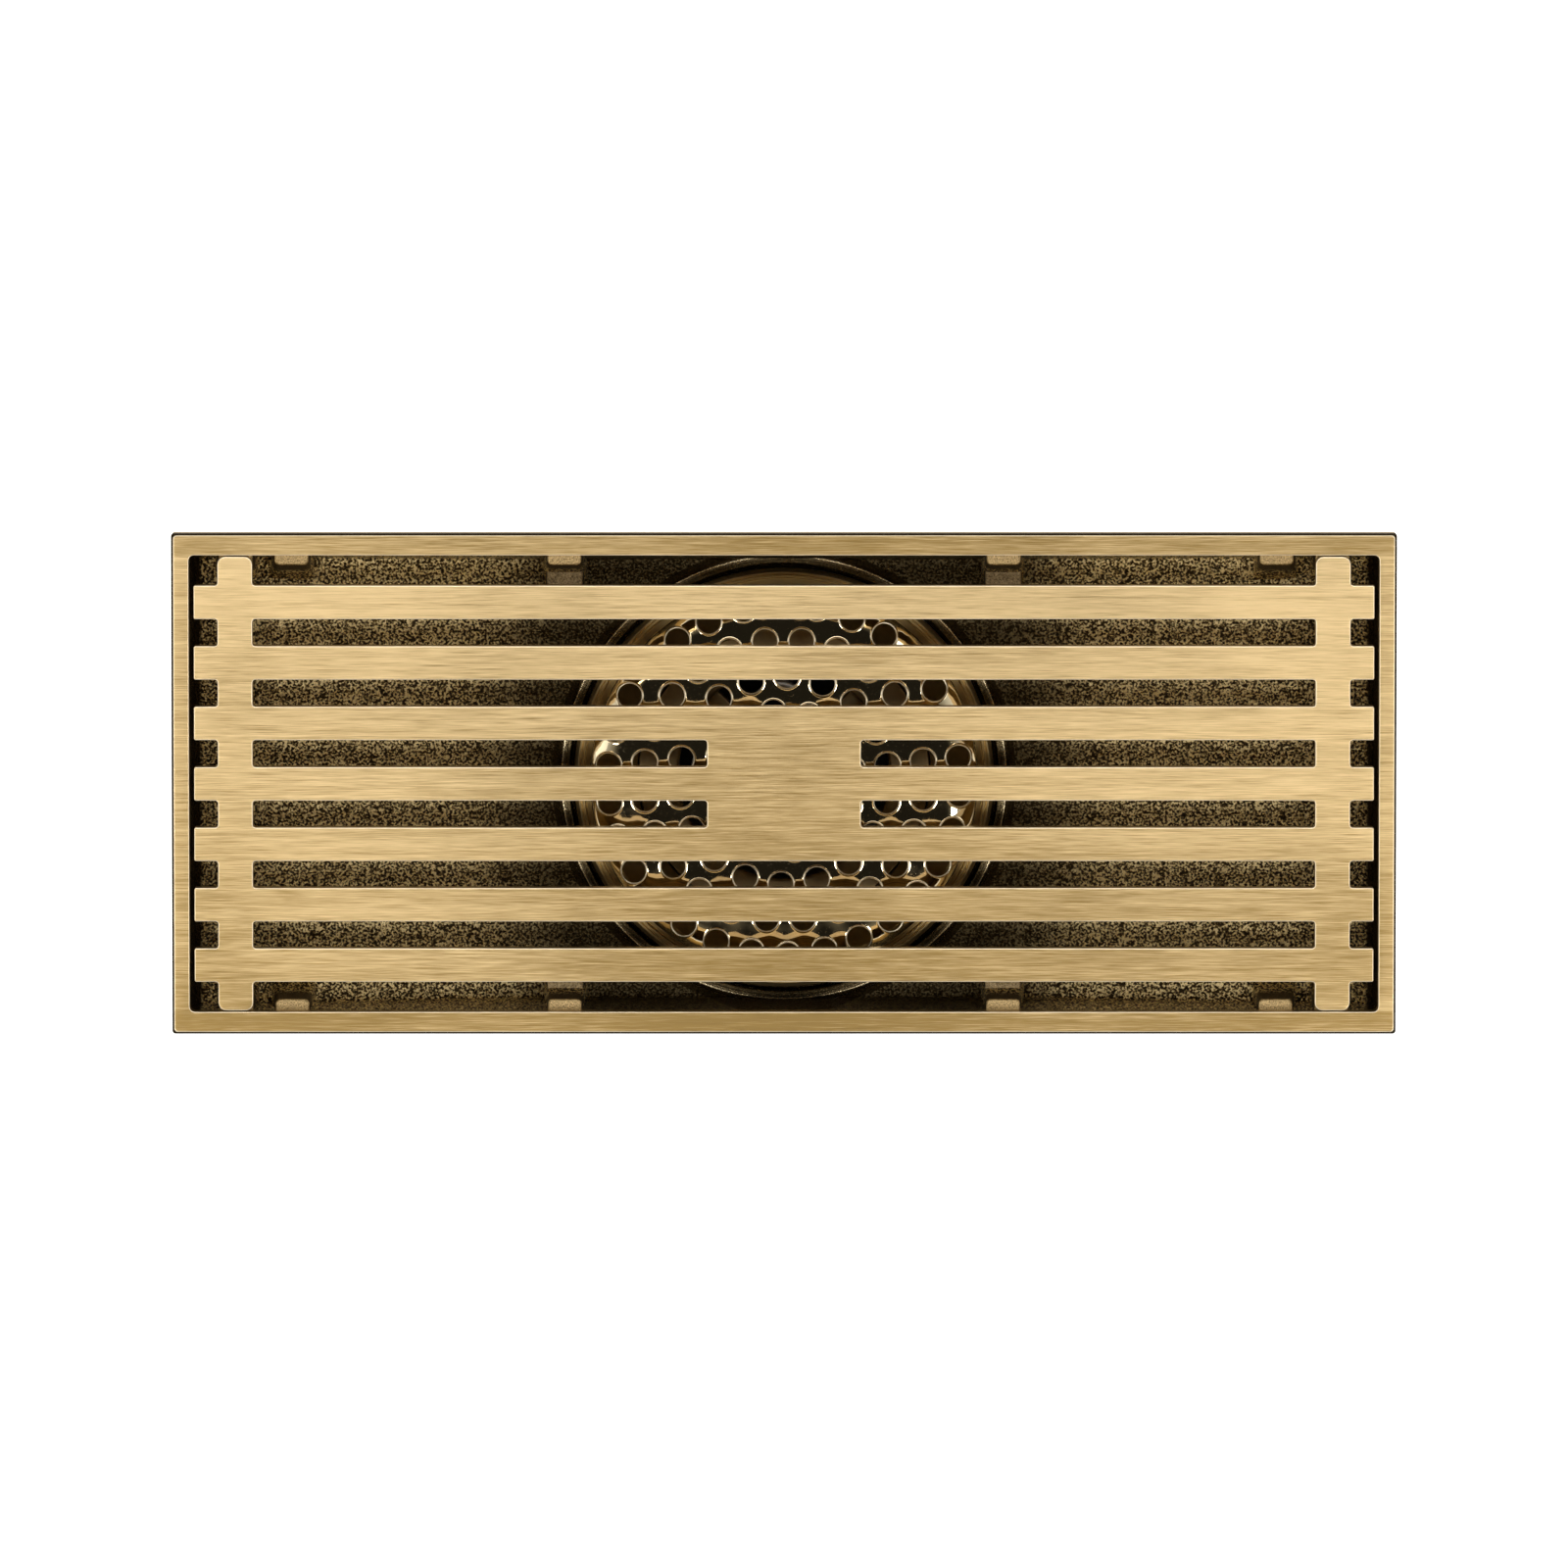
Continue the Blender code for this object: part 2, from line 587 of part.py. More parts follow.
def ear_drill():
    """A drill along the bail's pivot."""
    shape = bmesh.new()
    reach = EAR_OFFSET + 2 * EAR_THICKNESS
    place = (Matrix.Translation((0, 0, HEIGHT - BAIL_PIVOT_DEPTH))
             @ Matrix.Rotation(ARM_ANGLE, 4, "Z") @ Matrix.Rotation(TAU / 4, 4, "Y"))
    radius = BAIL_WIRE + RUNNING_GAP
    bmesh.ops.create_cone(shape, cap_ends=True, segments=SMALL_FACETS, radius1=radius,
                          radius2=radius, depth=2 * reach, matrix=place)
    return finished("ear_drill", shape)


def core_barrel(material, parent):
    """The core casting: barrel with its flange, four arms, the hub and the bail's ears."""
    flange_top = CORE_FLANGE_DEPTH - CORE_FLANGE_HEIGHT
    flange_radius = SOCKET_RADIUS - RUNNING_GAP
    barrel = turned("core_barrel", [
        (flange_radius, flange_top),
        (flange_radius, CORE_FLANGE_DEPTH),
        (BARREL_RADIUS, CORE_FLANGE_DEPTH),
        (BARREL_RADIUS, BARREL_END_DEPTH),
        (BARREL_BORE, BARREL_END_DEPTH),
        (BARREL_BORE, flange_top),
    ], material, parent, ring=True)
    combined(barrel, core_arms(), "UNION")
    hub = turned("core_hub", [(HUB_RADIUS, HUB_TOP_DEPTH), (HUB_RADIUS, HUB_TOP_DEPTH + HUB_HEIGHT)],
                 facets=SMALL_FACETS)
    combined(barrel, hub, "UNION")
    bore = turned("hub_bore", [(BUSH_RADIUS + RUNNING_GAP, HUB_TOP_DEPTH - HUB_HEIGHT),
                               (BUSH_RADIUS + RUNNING_GAP, HUB_TOP_DEPTH + 2 * HUB_HEIGHT)],
                  facets=SMALL_FACETS)
    combined(barrel, bore, "DIFFERENCE")
    combined(barrel, bail_ears(), "UNION")
    combined(barrel, ear_drill(), "DIFFERENCE")
    return barrel


def wire(name, points, radius, sides, material, parent):
    """A round wire along a list of points, with closed ends."""
    curve = bpy.data.curves.new(name, "CURVE")
    curve.dimensions = "3D"
    curve.bevel_depth = radius
    curve.bevel_resolution = sides
    curve.use_fill_caps = True
    spline = curve.splines.new("POLY")
    spline.points.add(len(points) - 1)
    for target, point in zip(spline.points, points):
        target.co = (*point, 1)
    return added(name, curve, material, parent)


def lift_bail(material, parent):
    """The wire handle, folded flat. Its ends run inwards through the ears."""
    leg = EAR_OFFSET + EAR_THICKNESS + RUNNING_GAP + 2 * BAIL_WIRE
    inner_end = EAR_OFFSET - 2 * BAIL_WIRE
    foot_corner = 1.5 * BAIL_WIRE
    steps = [TAU / 4 * step / (2 * CORNER_STEPS) for step in range(2 * CORNER_STEPS + 1)]
    side = [(inner_end, 0)]
    side += [(leg - foot_corner * (1 - math.sin(turn)), foot_corner * (1 - math.cos(turn)))
             for turn in steps]
    side += [(leg - BAIL_CORNER * (1 - math.cos(turn)),
              BAIL_REACH - BAIL_CORNER * (1 - math.sin(turn))) for turn in steps]
    path = side + [(-x, y) for x, y in reversed(side)]
    bail = wire("lift_bail", [(x, y, 0) for x, y in path], BAIL_WIRE, 2, material, parent)
    bail.rotation_euler = (0, 0, ARM_ANGLE)
    return bail


def return_spring(material, parent):
    """The open coil between the bush and the knob."""
    top = KNOB_BASE_DEPTH + SEAT_GAP + SPRING_WIRE
    bottom = BUSH_TOP_DEPTH - SEAT_GAP - SPRING_WIRE
    count = SPRING_TURNS * SPRING_STEPS
    points = []
    for step in range(count + 1):
        share = step / count
        angle = TAU * SPRING_TURNS * share
        points.append((SPRING_RADIUS * math.cos(angle), SPRING_RADIUS * math.sin(angle),
                       HEIGHT - bottom + share * (bottom - top)))
    return wire("return_spring", points, SPRING_WIRE, 1, material, parent)


def guide_bush(material, parent):
    """A flanged plastic sleeve in the hub, on which the spring also seats."""
    flange = SPRING_RADIUS + 2 * SPRING_WIRE
    under_flange = BUSH_TOP_DEPTH + BUSH_FLANGE
    return turned("guide_bush", [
        (flange, BUSH_TOP_DEPTH),
        (flange, under_flange),
        (BUSH_RADIUS, under_flange),
        (BUSH_RADIUS, HUB_TOP_DEPTH + HUB_HEIGHT),
        (STEM_RADIUS + RUNNING_GAP, HUB_TOP_DEPTH + HUB_HEIGHT),
        (STEM_RADIUS + RUNNING_GAP, BUSH_TOP_DEPTH),
    ], material, parent, ring=True, facets=SMALL_FACETS)


def valve_stem(material, parent):
    """The rod, with the collar that the valve gasket is clamped against."""
    return turned("valve_stem", [
        (STEM_RADIUS, STEM_TOP_DEPTH),
        (STEM_RADIUS, BARREL_END_DEPTH - COLLAR_HEIGHT),
        (COLLAR_RADIUS, BARREL_END_DEPTH - COLLAR_HEIGHT),
        (COLLAR_RADIUS, BARREL_END_DEPTH),
        (STEM_RADIUS, BARREL_END_DEPTH),
        (STEM_RADIUS, STEM_END_DEPTH),
    ], material, parent, facets=SMALL_FACETS)


def stem_knob(material, parent):
    """The domed cap nut on the stem's upper end, which the spring pushes up."""
    bore = STEM_RADIUS + RUNNING_GAP
    dome = [(KNOB_RADIUS * math.cos(turn), KNOB_TOP_DEPTH + KNOB_BASE * (1 - math.sin(turn)))
            for turn in (TAU / 4 * step / 6 for step in range(6))]
    knob = turned("stem_knob", [(KNOB_RADIUS, KNOB_BASE_DEPTH)] + dome, material, parent,
                  facets=SMALL_FACETS)
    drill = turned("knob_bore", [(bore, STEM_TOP_DEPTH - SEAT_GAP),
                                 (bore, KNOB_BASE_DEPTH + KNOB_HEIGHT)], facets=SMALL_FACETS)
    combined(knob, drill, "DIFFERENCE")
    return knob


def valve_disc(material, parent):
    """The plate that closes the barrel, with a boss for the nut."""
    bore = STEM_RADIUS + RUNNING_GAP
    plate_base = VALVE_DISC_DEPTH + VALVE_PLATE
    return turned("valve_disc", [
        (BARREL_RADIUS, VALVE_DISC_DEPTH),
        (BARREL_RADIUS, plate_base),
        (VALVE_BOSS_RADIUS, plate_base),
        (VALVE_BOSS_RADIUS, plate_base + VALVE_BOSS_HEIGHT),
        (bore, plate_base + VALVE_BOSS_HEIGHT),
        (bore, VALVE_DISC_DEPTH),
    ], material, parent, ring=True, facets=FACETS // 2)


def valve_nut(material, parent):
    """The hexagon nut under the valve."""
    corner = NUT_ACROSS_FLATS / math.sqrt(3)
    nut = turned("valve_nut", [(corner, NUT_DEPTH), (corner, NUT_DEPTH + NUT_HEIGHT)],
                 material, parent, facets=6)
    bore = STEM_RADIUS + RUNNING_GAP
    drill = turned("nut_bore", [(bore, NUT_DEPTH - NUT_HEIGHT), (bore, NUT_DEPTH + 2 * NUT_HEIGHT)],
                   facets=SMALL_FACETS)
    combined(nut, drill, "DIFFERENCE")
    return nut


def joint_empty(name, depth=None, parent=None):
    """The empty that carries a moving group, on its joint's axis."""
    empty = bpy.data.objects.new(name, None)
    bpy.context.scene.collection.objects.link(empty)
    empty.parent = parent
    if depth is not None:
        empty.location.z = HEIGHT - depth
    return empty


def main():
    clear_scene()
    brushed = metal("brushed_brass", (0.62, 0.44, 0.20), 0.32)
    cast = metal("cast_bronze", (0.14, 0.10, 0.045), 0.6)
    polished = metal("polished_brass", (0.78, 0.60, 0.34), 0.06)
    turned_brass = metal("turned_brass", (0.45, 0.31, 0.13), 0.25)
    core_cast = metal("core_casting", (0.35, 0.25, 0.12), 0.5)
    steel = metal("stainless_steel", (0.60, 0.58, 0.55), 0.22)
    rubber = metal("black_rubber", (0.02, 0.02, 0.02), 0.7, 0.0)
    plastic = metal("white_plastic", (0.75, 0.74, 0.70), 0.4, 0.0)

    grate_lift = joint_empty("grate_lift")
    strainer_lift = joint_empty("strainer_lift")
    core_lift = joint_empty("core_lift")
    valve_drop = joint_empty("valve_drop", parent=core_lift)
    bail_fold = joint_empty("bail_fold", BAIL_PIVOT_DEPTH, core_lift)

    drain_body(cast)
    outlet_bowl(cast)
    grate(brushed, grate_lift)
    strainer_cap(polished, strainer_lift)

    trap_cup(turned_brass, core_lift)
    flat_ring("cup_gasket", LEDGE_RADIUS + RUNNING_GAP, CUP_RADIUS, CUP_FLANGE_DEPTH + SEAT_GAP,
              GASKET_THICKNESS, rubber, core_lift)
    core_barrel(core_cast, core_lift)
    flat_ring("core_seal", SHELF_RADIUS, SOCKET_RADIUS - RUNNING_GAP,
              CORE_FLANGE_DEPTH + SEAT_GAP, GASKET_THICKNESS, rubber, core_lift)
    guide_bush(plastic, core_lift)
    return_spring(steel, core_lift)
    lift_bail(steel, bail_fold)

    bore = STEM_RADIUS + RUNNING_GAP
    valve_stem(steel, valve_drop)
    stem_knob(turned_brass, valve_drop)
    flat_ring("valve_gasket", bore, BARREL_RADIUS, VALVE_GASKET_DEPTH, GASKET_THICKNESS,
              rubber, valve_drop, FACETS // 2)
    valve_disc(plastic, valve_drop)
    flat_ring("valve_washer", bore, WASHER_RADIUS, WASHER_DEPTH, WASHER_THICKNESS, steel,
              valve_drop, SMALL_FACETS)
    valve_nut(steel, valve_drop)


main()
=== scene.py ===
"""The finished surfaces of a rectangular brass floor drain: the cast tray, the slotted grate, the
perforated strainer and the spring-valve odour trap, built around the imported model.

Metres, +Z up, with +X along the grate's bars. Depths are measured down from the drain's top face.
"""

import json
import math

import bmesh
import bpy
import numpy as np
from bpy.props import FloatProperty, FloatVectorProperty, IntProperty, PointerProperty
from mathutils import Matrix, Vector, noise
from mathutils.geometry import delaunay_2d_cdt


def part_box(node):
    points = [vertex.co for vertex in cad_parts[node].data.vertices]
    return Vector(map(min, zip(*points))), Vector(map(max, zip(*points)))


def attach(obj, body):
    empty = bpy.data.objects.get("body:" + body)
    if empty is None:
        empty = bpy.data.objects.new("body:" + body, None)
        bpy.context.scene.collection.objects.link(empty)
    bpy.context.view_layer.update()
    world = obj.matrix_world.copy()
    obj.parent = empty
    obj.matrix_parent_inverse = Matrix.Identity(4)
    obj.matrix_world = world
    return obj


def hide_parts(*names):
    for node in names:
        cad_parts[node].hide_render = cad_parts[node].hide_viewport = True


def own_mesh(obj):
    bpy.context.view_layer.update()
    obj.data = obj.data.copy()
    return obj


bl_info = {
    "name": "Floor Drain Finish",
    "version": (1, 0, 0),
    "blender": (4, 5, 0),
    "location": "3D View > Sidebar > Drain",
    "description": "Builds the detailed pieces and finishes of a rectangular brass floor drain",
    "category": "Object",
}

MM = 0.001
TAU = math.tau
ROUND = 192
SMALL_ROUND = 64
WELD = 0.001 * MM
SHARP = math.radians(32)
EMBED = 0.6 * MM         # from the floor down into it, for lugs and pads
LUG_DROP = 0.3 * MM      # from the grate's underside down to a lug's top
BOWL_NECK = 3 * MM       # from the bowl's top down to its funnel
LEDGE_DROP = 7.6 * MM    # from the cup's top down to the ledge under its gasket
BUSH_WALL = 1.1 * MM     # wall of the sleeve that the stem slides in
BARREL_ROOM = 1.2 * MM   # from the barrel out to the cup's shelf

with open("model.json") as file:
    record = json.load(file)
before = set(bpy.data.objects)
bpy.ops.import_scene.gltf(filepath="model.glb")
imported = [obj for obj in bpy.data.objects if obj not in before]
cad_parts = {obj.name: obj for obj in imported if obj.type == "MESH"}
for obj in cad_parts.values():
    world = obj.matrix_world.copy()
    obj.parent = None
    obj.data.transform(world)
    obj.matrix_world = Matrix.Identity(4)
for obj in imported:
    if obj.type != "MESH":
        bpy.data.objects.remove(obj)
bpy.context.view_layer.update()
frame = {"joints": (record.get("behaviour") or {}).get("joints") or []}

BODY_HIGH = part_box("drain_body")[1]
TOP = BODY_HIGH.z
HALF_LENGTH = BODY_HIGH.x
HALF_WIDTH = BODY_HIGH.y


def span(node):
    """Outer radius, upper depth and lower depth of a round CAD node."""
    low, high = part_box(node)
    return high.x, TOP - high.z, TOP - low.z


BOWL_RADIUS, BOWL_TOP, BOWL_END = span("outlet_bowl")
CAP_RADIUS, CAP_TOP, CAP_BASE = span("strainer_cap")
CUP_RADIUS, CUP_TOP, CUP_BASE = span("trap_cup")
FLANGE_RADIUS, FLANGE_TOP, BARREL_END = span("core_barrel")
KNOB_RADIUS, KNOB_TOP, KNOB_BASE = span("stem_knob")
COLLAR_RADIUS, STEM_TOP, STEM_END = span("valve_stem")
BUSH_RADIUS, BUSH_TOP, BUSH_END = span("guide_bush")
DISC_RADIUS, DISC_TOP, DISC_END = span("valve_disc")
GRATE_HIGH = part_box("grate")[1]
GRATE_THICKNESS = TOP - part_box("grate")[0].z
SPRING_RADIUS, SPRING_TOP, SPRING_BASE = span("return_spring")


# Sizes and colours that a user can change

def length(name, millimetres, description):
    return FloatProperty(name=name, description=description, default=millimetres * MM, min=0.0,
                         subtype="DISTANCE", unit="LENGTH", precision=5)


def share(name, default, description):
    return FloatProperty(name=name, description=description, default=default, min=0.0, max=1.0,
                         subtype="FACTOR")


def number(name, default, description):
    return IntProperty(name=name, description=description, default=default, min=1)


def colour(name, default, description):
    return FloatVectorProperty(name=name, description=description, default=default, size=3,
                               min=0.0, max=1.0, subtype="COLOR")


class TraySizes(bpy.types.PropertyGroup):
    rim_end: length("Rim at the ends", 4.3, "Width of the rim at the short sides")
    rim_side: length("Rim at the sides", 5.45, "Width of the rim at the long sides")
    rim_band: length("Rim height", 6, "Height of the rim's outer face")
    rim_edge: length("Rim edge", 0.8, "Rounding of the rim's outer top edge")
    rim_inner_edge: length("Rim inner edge", 0.3, "Rounding of the rim's inner top edge")
    pocket_corner: length("Pocket corner", 1.3, "Corner radius of the tray's opening")
    body_step: length("Body step", 1.5, "How far the body stands in from the rim")
    body_corner: length("Body corner", 2.5, "Corner radius of the body")
    draft: share("Draft", 0.15, "Lean of the walls below the grate")
    floor_end: length("Floor at the ends", 12, "Depth of the floor at both ends")
    floor_middle: length("Floor in the middle", 18.5, "Depth of the floor at the recess")
    floor_thickness: length("Floor thickness", 3, "Thickness of the cast floor")
    floor_fillet: length("Floor fillet", 0.9, "Rounding between walls and floor")
    recess_gap: length("Recess gap", 0.45, "From the recess to the long walls")
    land_width: length("Land width", 2.7, "Width of the turned land")
    land_drop: length("Land drop", 2, "From the floor down to the land")
    ledge_width: length("Ledge width", 3.9, "Width of the cup's ledge")
    wall: length("Outlet wall", 2.5, "Wall of the funnel and outlet")
    outlet_radius: length("Outlet radius", 35, "Outer radius of the outlet")
    funnel_height: length("Funnel height", 20, "Height of the funnel")
    lug_width: length("Lug width", 8.4, "Width of a lug's top")
    lug_reach: length("Lug reach", 2.6, "How far a lug's top stands out of the wall")
    lug_flare: length("Lug flare", 1.2, "How much wider a lug is at its foot")
    lug_base_reach: length("Lug foot reach", 5.5, "How far a lug's foot stands out")
    lug_middle_x: length("Middle lug place", 53.8, "From the centre to the middle lugs")
    lug_end_inset: length("End lug inset", 25, "From the end walls to the end lugs")
    pad_width: length("Pad width", 9, "Width of a pad")
    pad_reach: length("Pad reach", 10, "How far a pad stands out of the wall")
    pad_depth: length("Pad depth", 11.5, "Depth of a pad's top")


class GrateSizes(bpy.types.PropertyGroup):
    bars: number("Bars", 7, "Number of bars")
    bar_width: length("Bar width", 8.3, "Width of a bar")
    bar_edge_gap: length("Outer bar gap", 7.35, "From the long walls to the outer bars")
    crossbar_width: length("Crossbar width", 8.6, "Width of a crossbar")
    crossbar_inset: length("Crossbar inset", 5.8, "From the bars' ends to the crossbars")
    plate_length: length("Plate length", 37.7, "Length of the centre plate")
    bar_corner: length("Bar corner", 0.45, "Corner radius at the bars' ends")
    crossbar_corner: length("Crossbar corner", 1.9, "Corner radius at the crossbars' ends")
    slot_corner: length("Slot corner", 0.7, "Corner radius of the slots")
    edge: length("Edge", 0.34, "Rounding of the top edges")


class StrainerSizes(bpy.types.PropertyGroup):
    sheet: length("Sheet", 0.9, "Thickness of the pressed sheet")
    crown: length("Crown", 0.6, "How far the middle stands above the outer holes")
    roll: length("Roll", 2.8, "How far the edge is rolled down")
    hole_radius: length("Hole radius", 3.0, "Radius of a hole")
    lip_width: length("Lip width", 0.4, "Width of the bead around a hole")
    lip_height: length("Lip height", 0.17, "Height of the bead around a hole")
    edge_distance: length("Edge distance", 4.6, "From the outer holes to the cap's edge")
    ring_pitch: length("Ring pitch", 8.75, "From one ring of holes to the next")
    ring_step: number("Ring step", 6, "How many more holes each ring outwards has")
    rings: number("Rings", 5, "Number of rings of holes")
    wave: length("Waviness", 0.05, "Unevenness of the polished sheet")
    swell: length("Swell", 0.1, "How far the sheet is drawn up around a hole")
    swell_width: length("Swell width", 1.7, "How far the swell reaches from a hole")


class TrapSizes(bpy.types.PropertyGroup):
    flange_width: length("Cup flange width", 2.4, "Width of the cup's bright top ring")
    flange_bevel: length("Cup flange bevel", 0.95, "Bevel on the flange's outer edge")
    flange_height: length("Cup flange height", 5.5, "Height of the cup's flange")
    register: length("Register depth", 2, "Depth of the strainer's seat")
    seat_width: length("Seat width", 3.3, "Width of the strainer's seat")
    cone_height: length("Cone height", 11, "Height of the cup's cone")
    socket_height: length("Socket height", 5, "Depth of the core's socket")
    shelf_width: length("Shelf width", 6.6, "Width of the core's shelf")
    cup_wall: length("Cup wall", 2.3, "Wall of the cup")
    core_flange: length("Core flange", 2.5, "Thickness of the core's flange")
    barrel_radius: length("Barrel radius", 28.5, "Outer radius of the barrel")
    barrel_wall: length("Barrel wall", 2.5, "Wall of the barrel")
    hub_radius: length("Hub radius", 6.5, "Radius of the hub")
    hub_height: length("Hub height", 10, "Height of the hub")
    hub_top: length("Hub depth", 40, "Depth of the hub's top")
    arm_width: length("Arm width", 5.2, "Width of an arm")
    arm_height: length("Arm height", 7, "Height of an arm")
    arm_drop: length("Arm drop", 0.6, "From the hub's top down to the arms")
    ear_offset: length("Ear offset", 11, "From the centre to an ear")
    ear_thickness: length("Ear thickness", 3, "Thickness of an ear")
    ear_width: length("Ear width", 5, "Width of an ear")
    bail_wire: length("Bail wire", 1.1, "Radius of the bail's wire")
    bail_depth: length("Bail depth", 36, "Depth of the bail's pivot")
    bail_room: length("Bail room", 8, "From the bail's far side to the barrel")
    stem_radius: length("Stem radius", 2.5, "Radius of the stem")
    thread_pitch: length("Thread pitch", 0.8, "Pitch of the stem's thread")
    thread_depth: length("Thread depth", 0.35, "Depth of the stem's thread")
    running_gap: length("Running gap", 0.3, "Gap between pieces that slide")
    spring_wire: length("Spring wire", 0.45, "Radius of the spring's wire")
    spring_turns: number("Spring turns", 6, "Turns of the spring")
    rubber_edge: length("Rubber edge", 0.35, "Rounding of the rubber rings")


class DrainColours(bpy.types.PropertyGroup):
    brass: colour("Brushed brass", (0.70, 0.515, 0.262), "Grate and rim")
    # Dark streaks, and also the colour that the painted shade on the grate and rim darkens towards.
    brass_shadow: colour("Brushed brass, dark", (0.30, 0.195, 0.066), "Dark streaks in the brass")
    # The colour of the rubbed top edges, lightened as a painted highlight.
    brass_edge_highlight: colour("Brushed brass, edges", (1.0, 0.86, 0.62), "Rubbed edges of the brass")
    # The near-black colour of the rim's outer face, low down.
    outer_edge_dark: colour("Edge patina", (0.022, 0.014, 0.005), "Outer edge of the rim")
    bronze: colour("Cast bronze", (0.27, 0.195, 0.085), "Sand-cast surfaces")
    # Dark pits between the grains, and also the colour of painted shade on the tray floor, at the
    # recess wall and on the cup flange's bevel.
    bronze_pit_and_shade: colour("Cast bronze, pits", (0.03, 0.02, 0.008), "Pits between the grains")
    # Grain tops, lightened as a painted highlight.
    bronze_grain_highlight: colour("Cast bronze, grains", (1.0, 0.82, 0.45), "Bright grains")
    lug: colour("Lugs", (0.44, 0.32, 0.155), "Rubbed casting of the lugs")
    pad: colour("Pads", (0.26, 0.19, 0.10), "Sanded casting of the pads")
    turned: colour("Turned brass", (0.34, 0.265, 0.15), "Lathe-turned surfaces")
    # Tarnish in the grooves, and also painted shade deep in the cup and on the darkened land.
    turned_dark: colour("Turned brass, dark", (0.05, 0.035, 0.014), "Tarnish in the grooves")
    polish: colour("Polished brass", (0.83, 0.69, 0.44), "Strainer")
    # Beads round the holes, lightened as a painted highlight.
    polish_lip_highlight: colour("Polished brass, beads", (1.0, 0.88, 0.66), "Beads around the holes")
    core: colour("Core casting", (0.44, 0.31, 0.14), "Barrel, arms and hub")
    core_dark: colour("Core casting, dark", (0.16, 0.105, 0.04), "Sand marks in the core")
    steel: colour("Stainless steel", (0.60, 0.58, 0.55), "Stem, spring, bail, washer and nut")
    rubber: colour("Rubber", (0.018, 0.018, 0.017), "Gaskets and seal")
    plastic: colour("Plastic", (0.72, 0.71, 0.66), "Bush and valve plate")
    floor: colour("Studio floor", (0.93, 0.93, 0.93), "Floor of the studio")


# Shader building

class Signal:
    """A shader value that Python's operators work on. Each operator adds one Math node."""

    def __init__(self, finish, socket):
        self.finish = finish
        self.socket = socket

    def maths(self, operation, *values):
        sockets = dict(enumerate(values))
        return self.finish.node("ShaderNodeMath", {"operation": operation}, sockets)

    def __add__(self, other):
        return self.maths("ADD", self, other)

    __radd__ = __add__

    def __sub__(self, other):
        return self.maths("SUBTRACT", self, other)

    def __rsub__(self, other):
        return self.maths("SUBTRACT", other, self)

    def __mul__(self, other):
        return self.maths("MULTIPLY", self, other)

    __rmul__ = __mul__

    def __truediv__(self, other):
        return self.maths("DIVIDE", self, other)

    def __pow__(self, other):
        return self.maths("POWER", self, other)

    def __abs__(self):
        return self.maths("ABSOLUTE", self)


class Finish:
    """One material. Numbers that hold all over go straight to the shader's own sockets."""

    def __init__(self, name, **constants):
        self.material = bpy.data.materials.new(name)
        self.material.use_nodes = True
        self.tree = self.material.node_tree
        self.shader = self.tree.nodes["Principled BSDF"]
        for socket, value in constants.items():
            self.shader.inputs[socket.replace("_", " ")].default_value = value
        place = self.node("ShaderNodeTexCoord", output="Object")
        scale = {"Vector": place, "Scale": 1 / MM}
        self.place = self.node("ShaderNodeVectorMath", {"operation": "SCALE"}, scale)
        parts = {"Vector": self.place}
        self.x, self.y, self.z = (self.node("ShaderNodeSeparateXYZ", None, parts, axis)
                                  for axis in "XYZ")

    def node(self, kind, settings=None, sockets=None, output=0):
        """Adds a node: its settings first, then the values or links of its sockets."""
        made = self.tree.nodes.new(kind)
        for name, value in (settings or {}).items():
            setattr(made, name, value)
        for name, value in (sockets or {}).items():
            self.feed(made.inputs[name], value)
        return Signal(self, made.outputs[output])

    @staticmethod
    def set_stops(ramp, stops):
        while len(ramp.elements) < len(stops):
            ramp.elements.new(0.5)
        for element, (position, shade) in zip(ramp.elements, stops):
            element.position = position
            element.color = (*shade, 1.0)

    def feed(self, socket, value):
        if isinstance(value, Signal):
            self.tree.links.new(value.socket, socket)
        elif socket.type == "RGBA":
            socket.default_value = (*value, 1.0)
        else:
            socket.default_value = value

    def noise(self, scale, detail=2.0, roughness=0.5):
        """Noise with so many features to a millimetre, the same or its own along each axis."""
        if not isinstance(scale, tuple):
            scale = (scale, scale, scale)
        where = self.node("ShaderNodeMapping", None, {"Vector": self.place, "Scale": scale})
        sockets = {"Vector": where, "Scale": 1.0, "Detail": detail, "Roughness": roughness}
        return self.node("ShaderNodeTexNoise", None, sockets)

    def clamped(self, value):
        return self.node("ShaderNodeClamp", None, {"Value": value})

    def step(self, value, low, high):
        """0 below low and 1 above high, smooth between."""
        sockets = {"Value": value, "From Min": low, "From Max": high}
        return self.node("ShaderNodeMapRange", {"interpolation_type": "SMOOTHSTEP"}, sockets)

    def below(self, value, low, high):
        """1 below low and 0 above high, smooth between."""
        return 1 - self.step(value, low, high)

    def band(self, value, low, high, blur=0.07):
        """1 between low and high."""
        return self.step(value, low - blur, low + blur) * self.below(value, high - blur, high + blur)

    def mix(self, factor, first, second):
        """A mix of two colours."""
        settings = {"data_type": "RGBA", "blend_type": "MIX"}
        return self.node("ShaderNodeMix", settings, {0: factor, 6: first, 7: second}, 2)

    def radius(self):
        """Distance from the drain's axis, in millimetres."""
        return (self.x * self.x + self.y * self.y) ** 0.5

    def colour(self, value):
        self.feed(self.shader.inputs["Base Color"], value)

    def roughness(self, value):
        self.feed(self.shader.inputs["Roughness"], value)

    def bump(self, height, strength, distance):
        sockets = {"Height": height, "Strength": strength, "Distance": distance}
        self.feed(self.shader.inputs["Normal"], self.node("ShaderNodeBump", None, sockets))


def darker(base, part):
    return tuple(part * channel for channel in base)


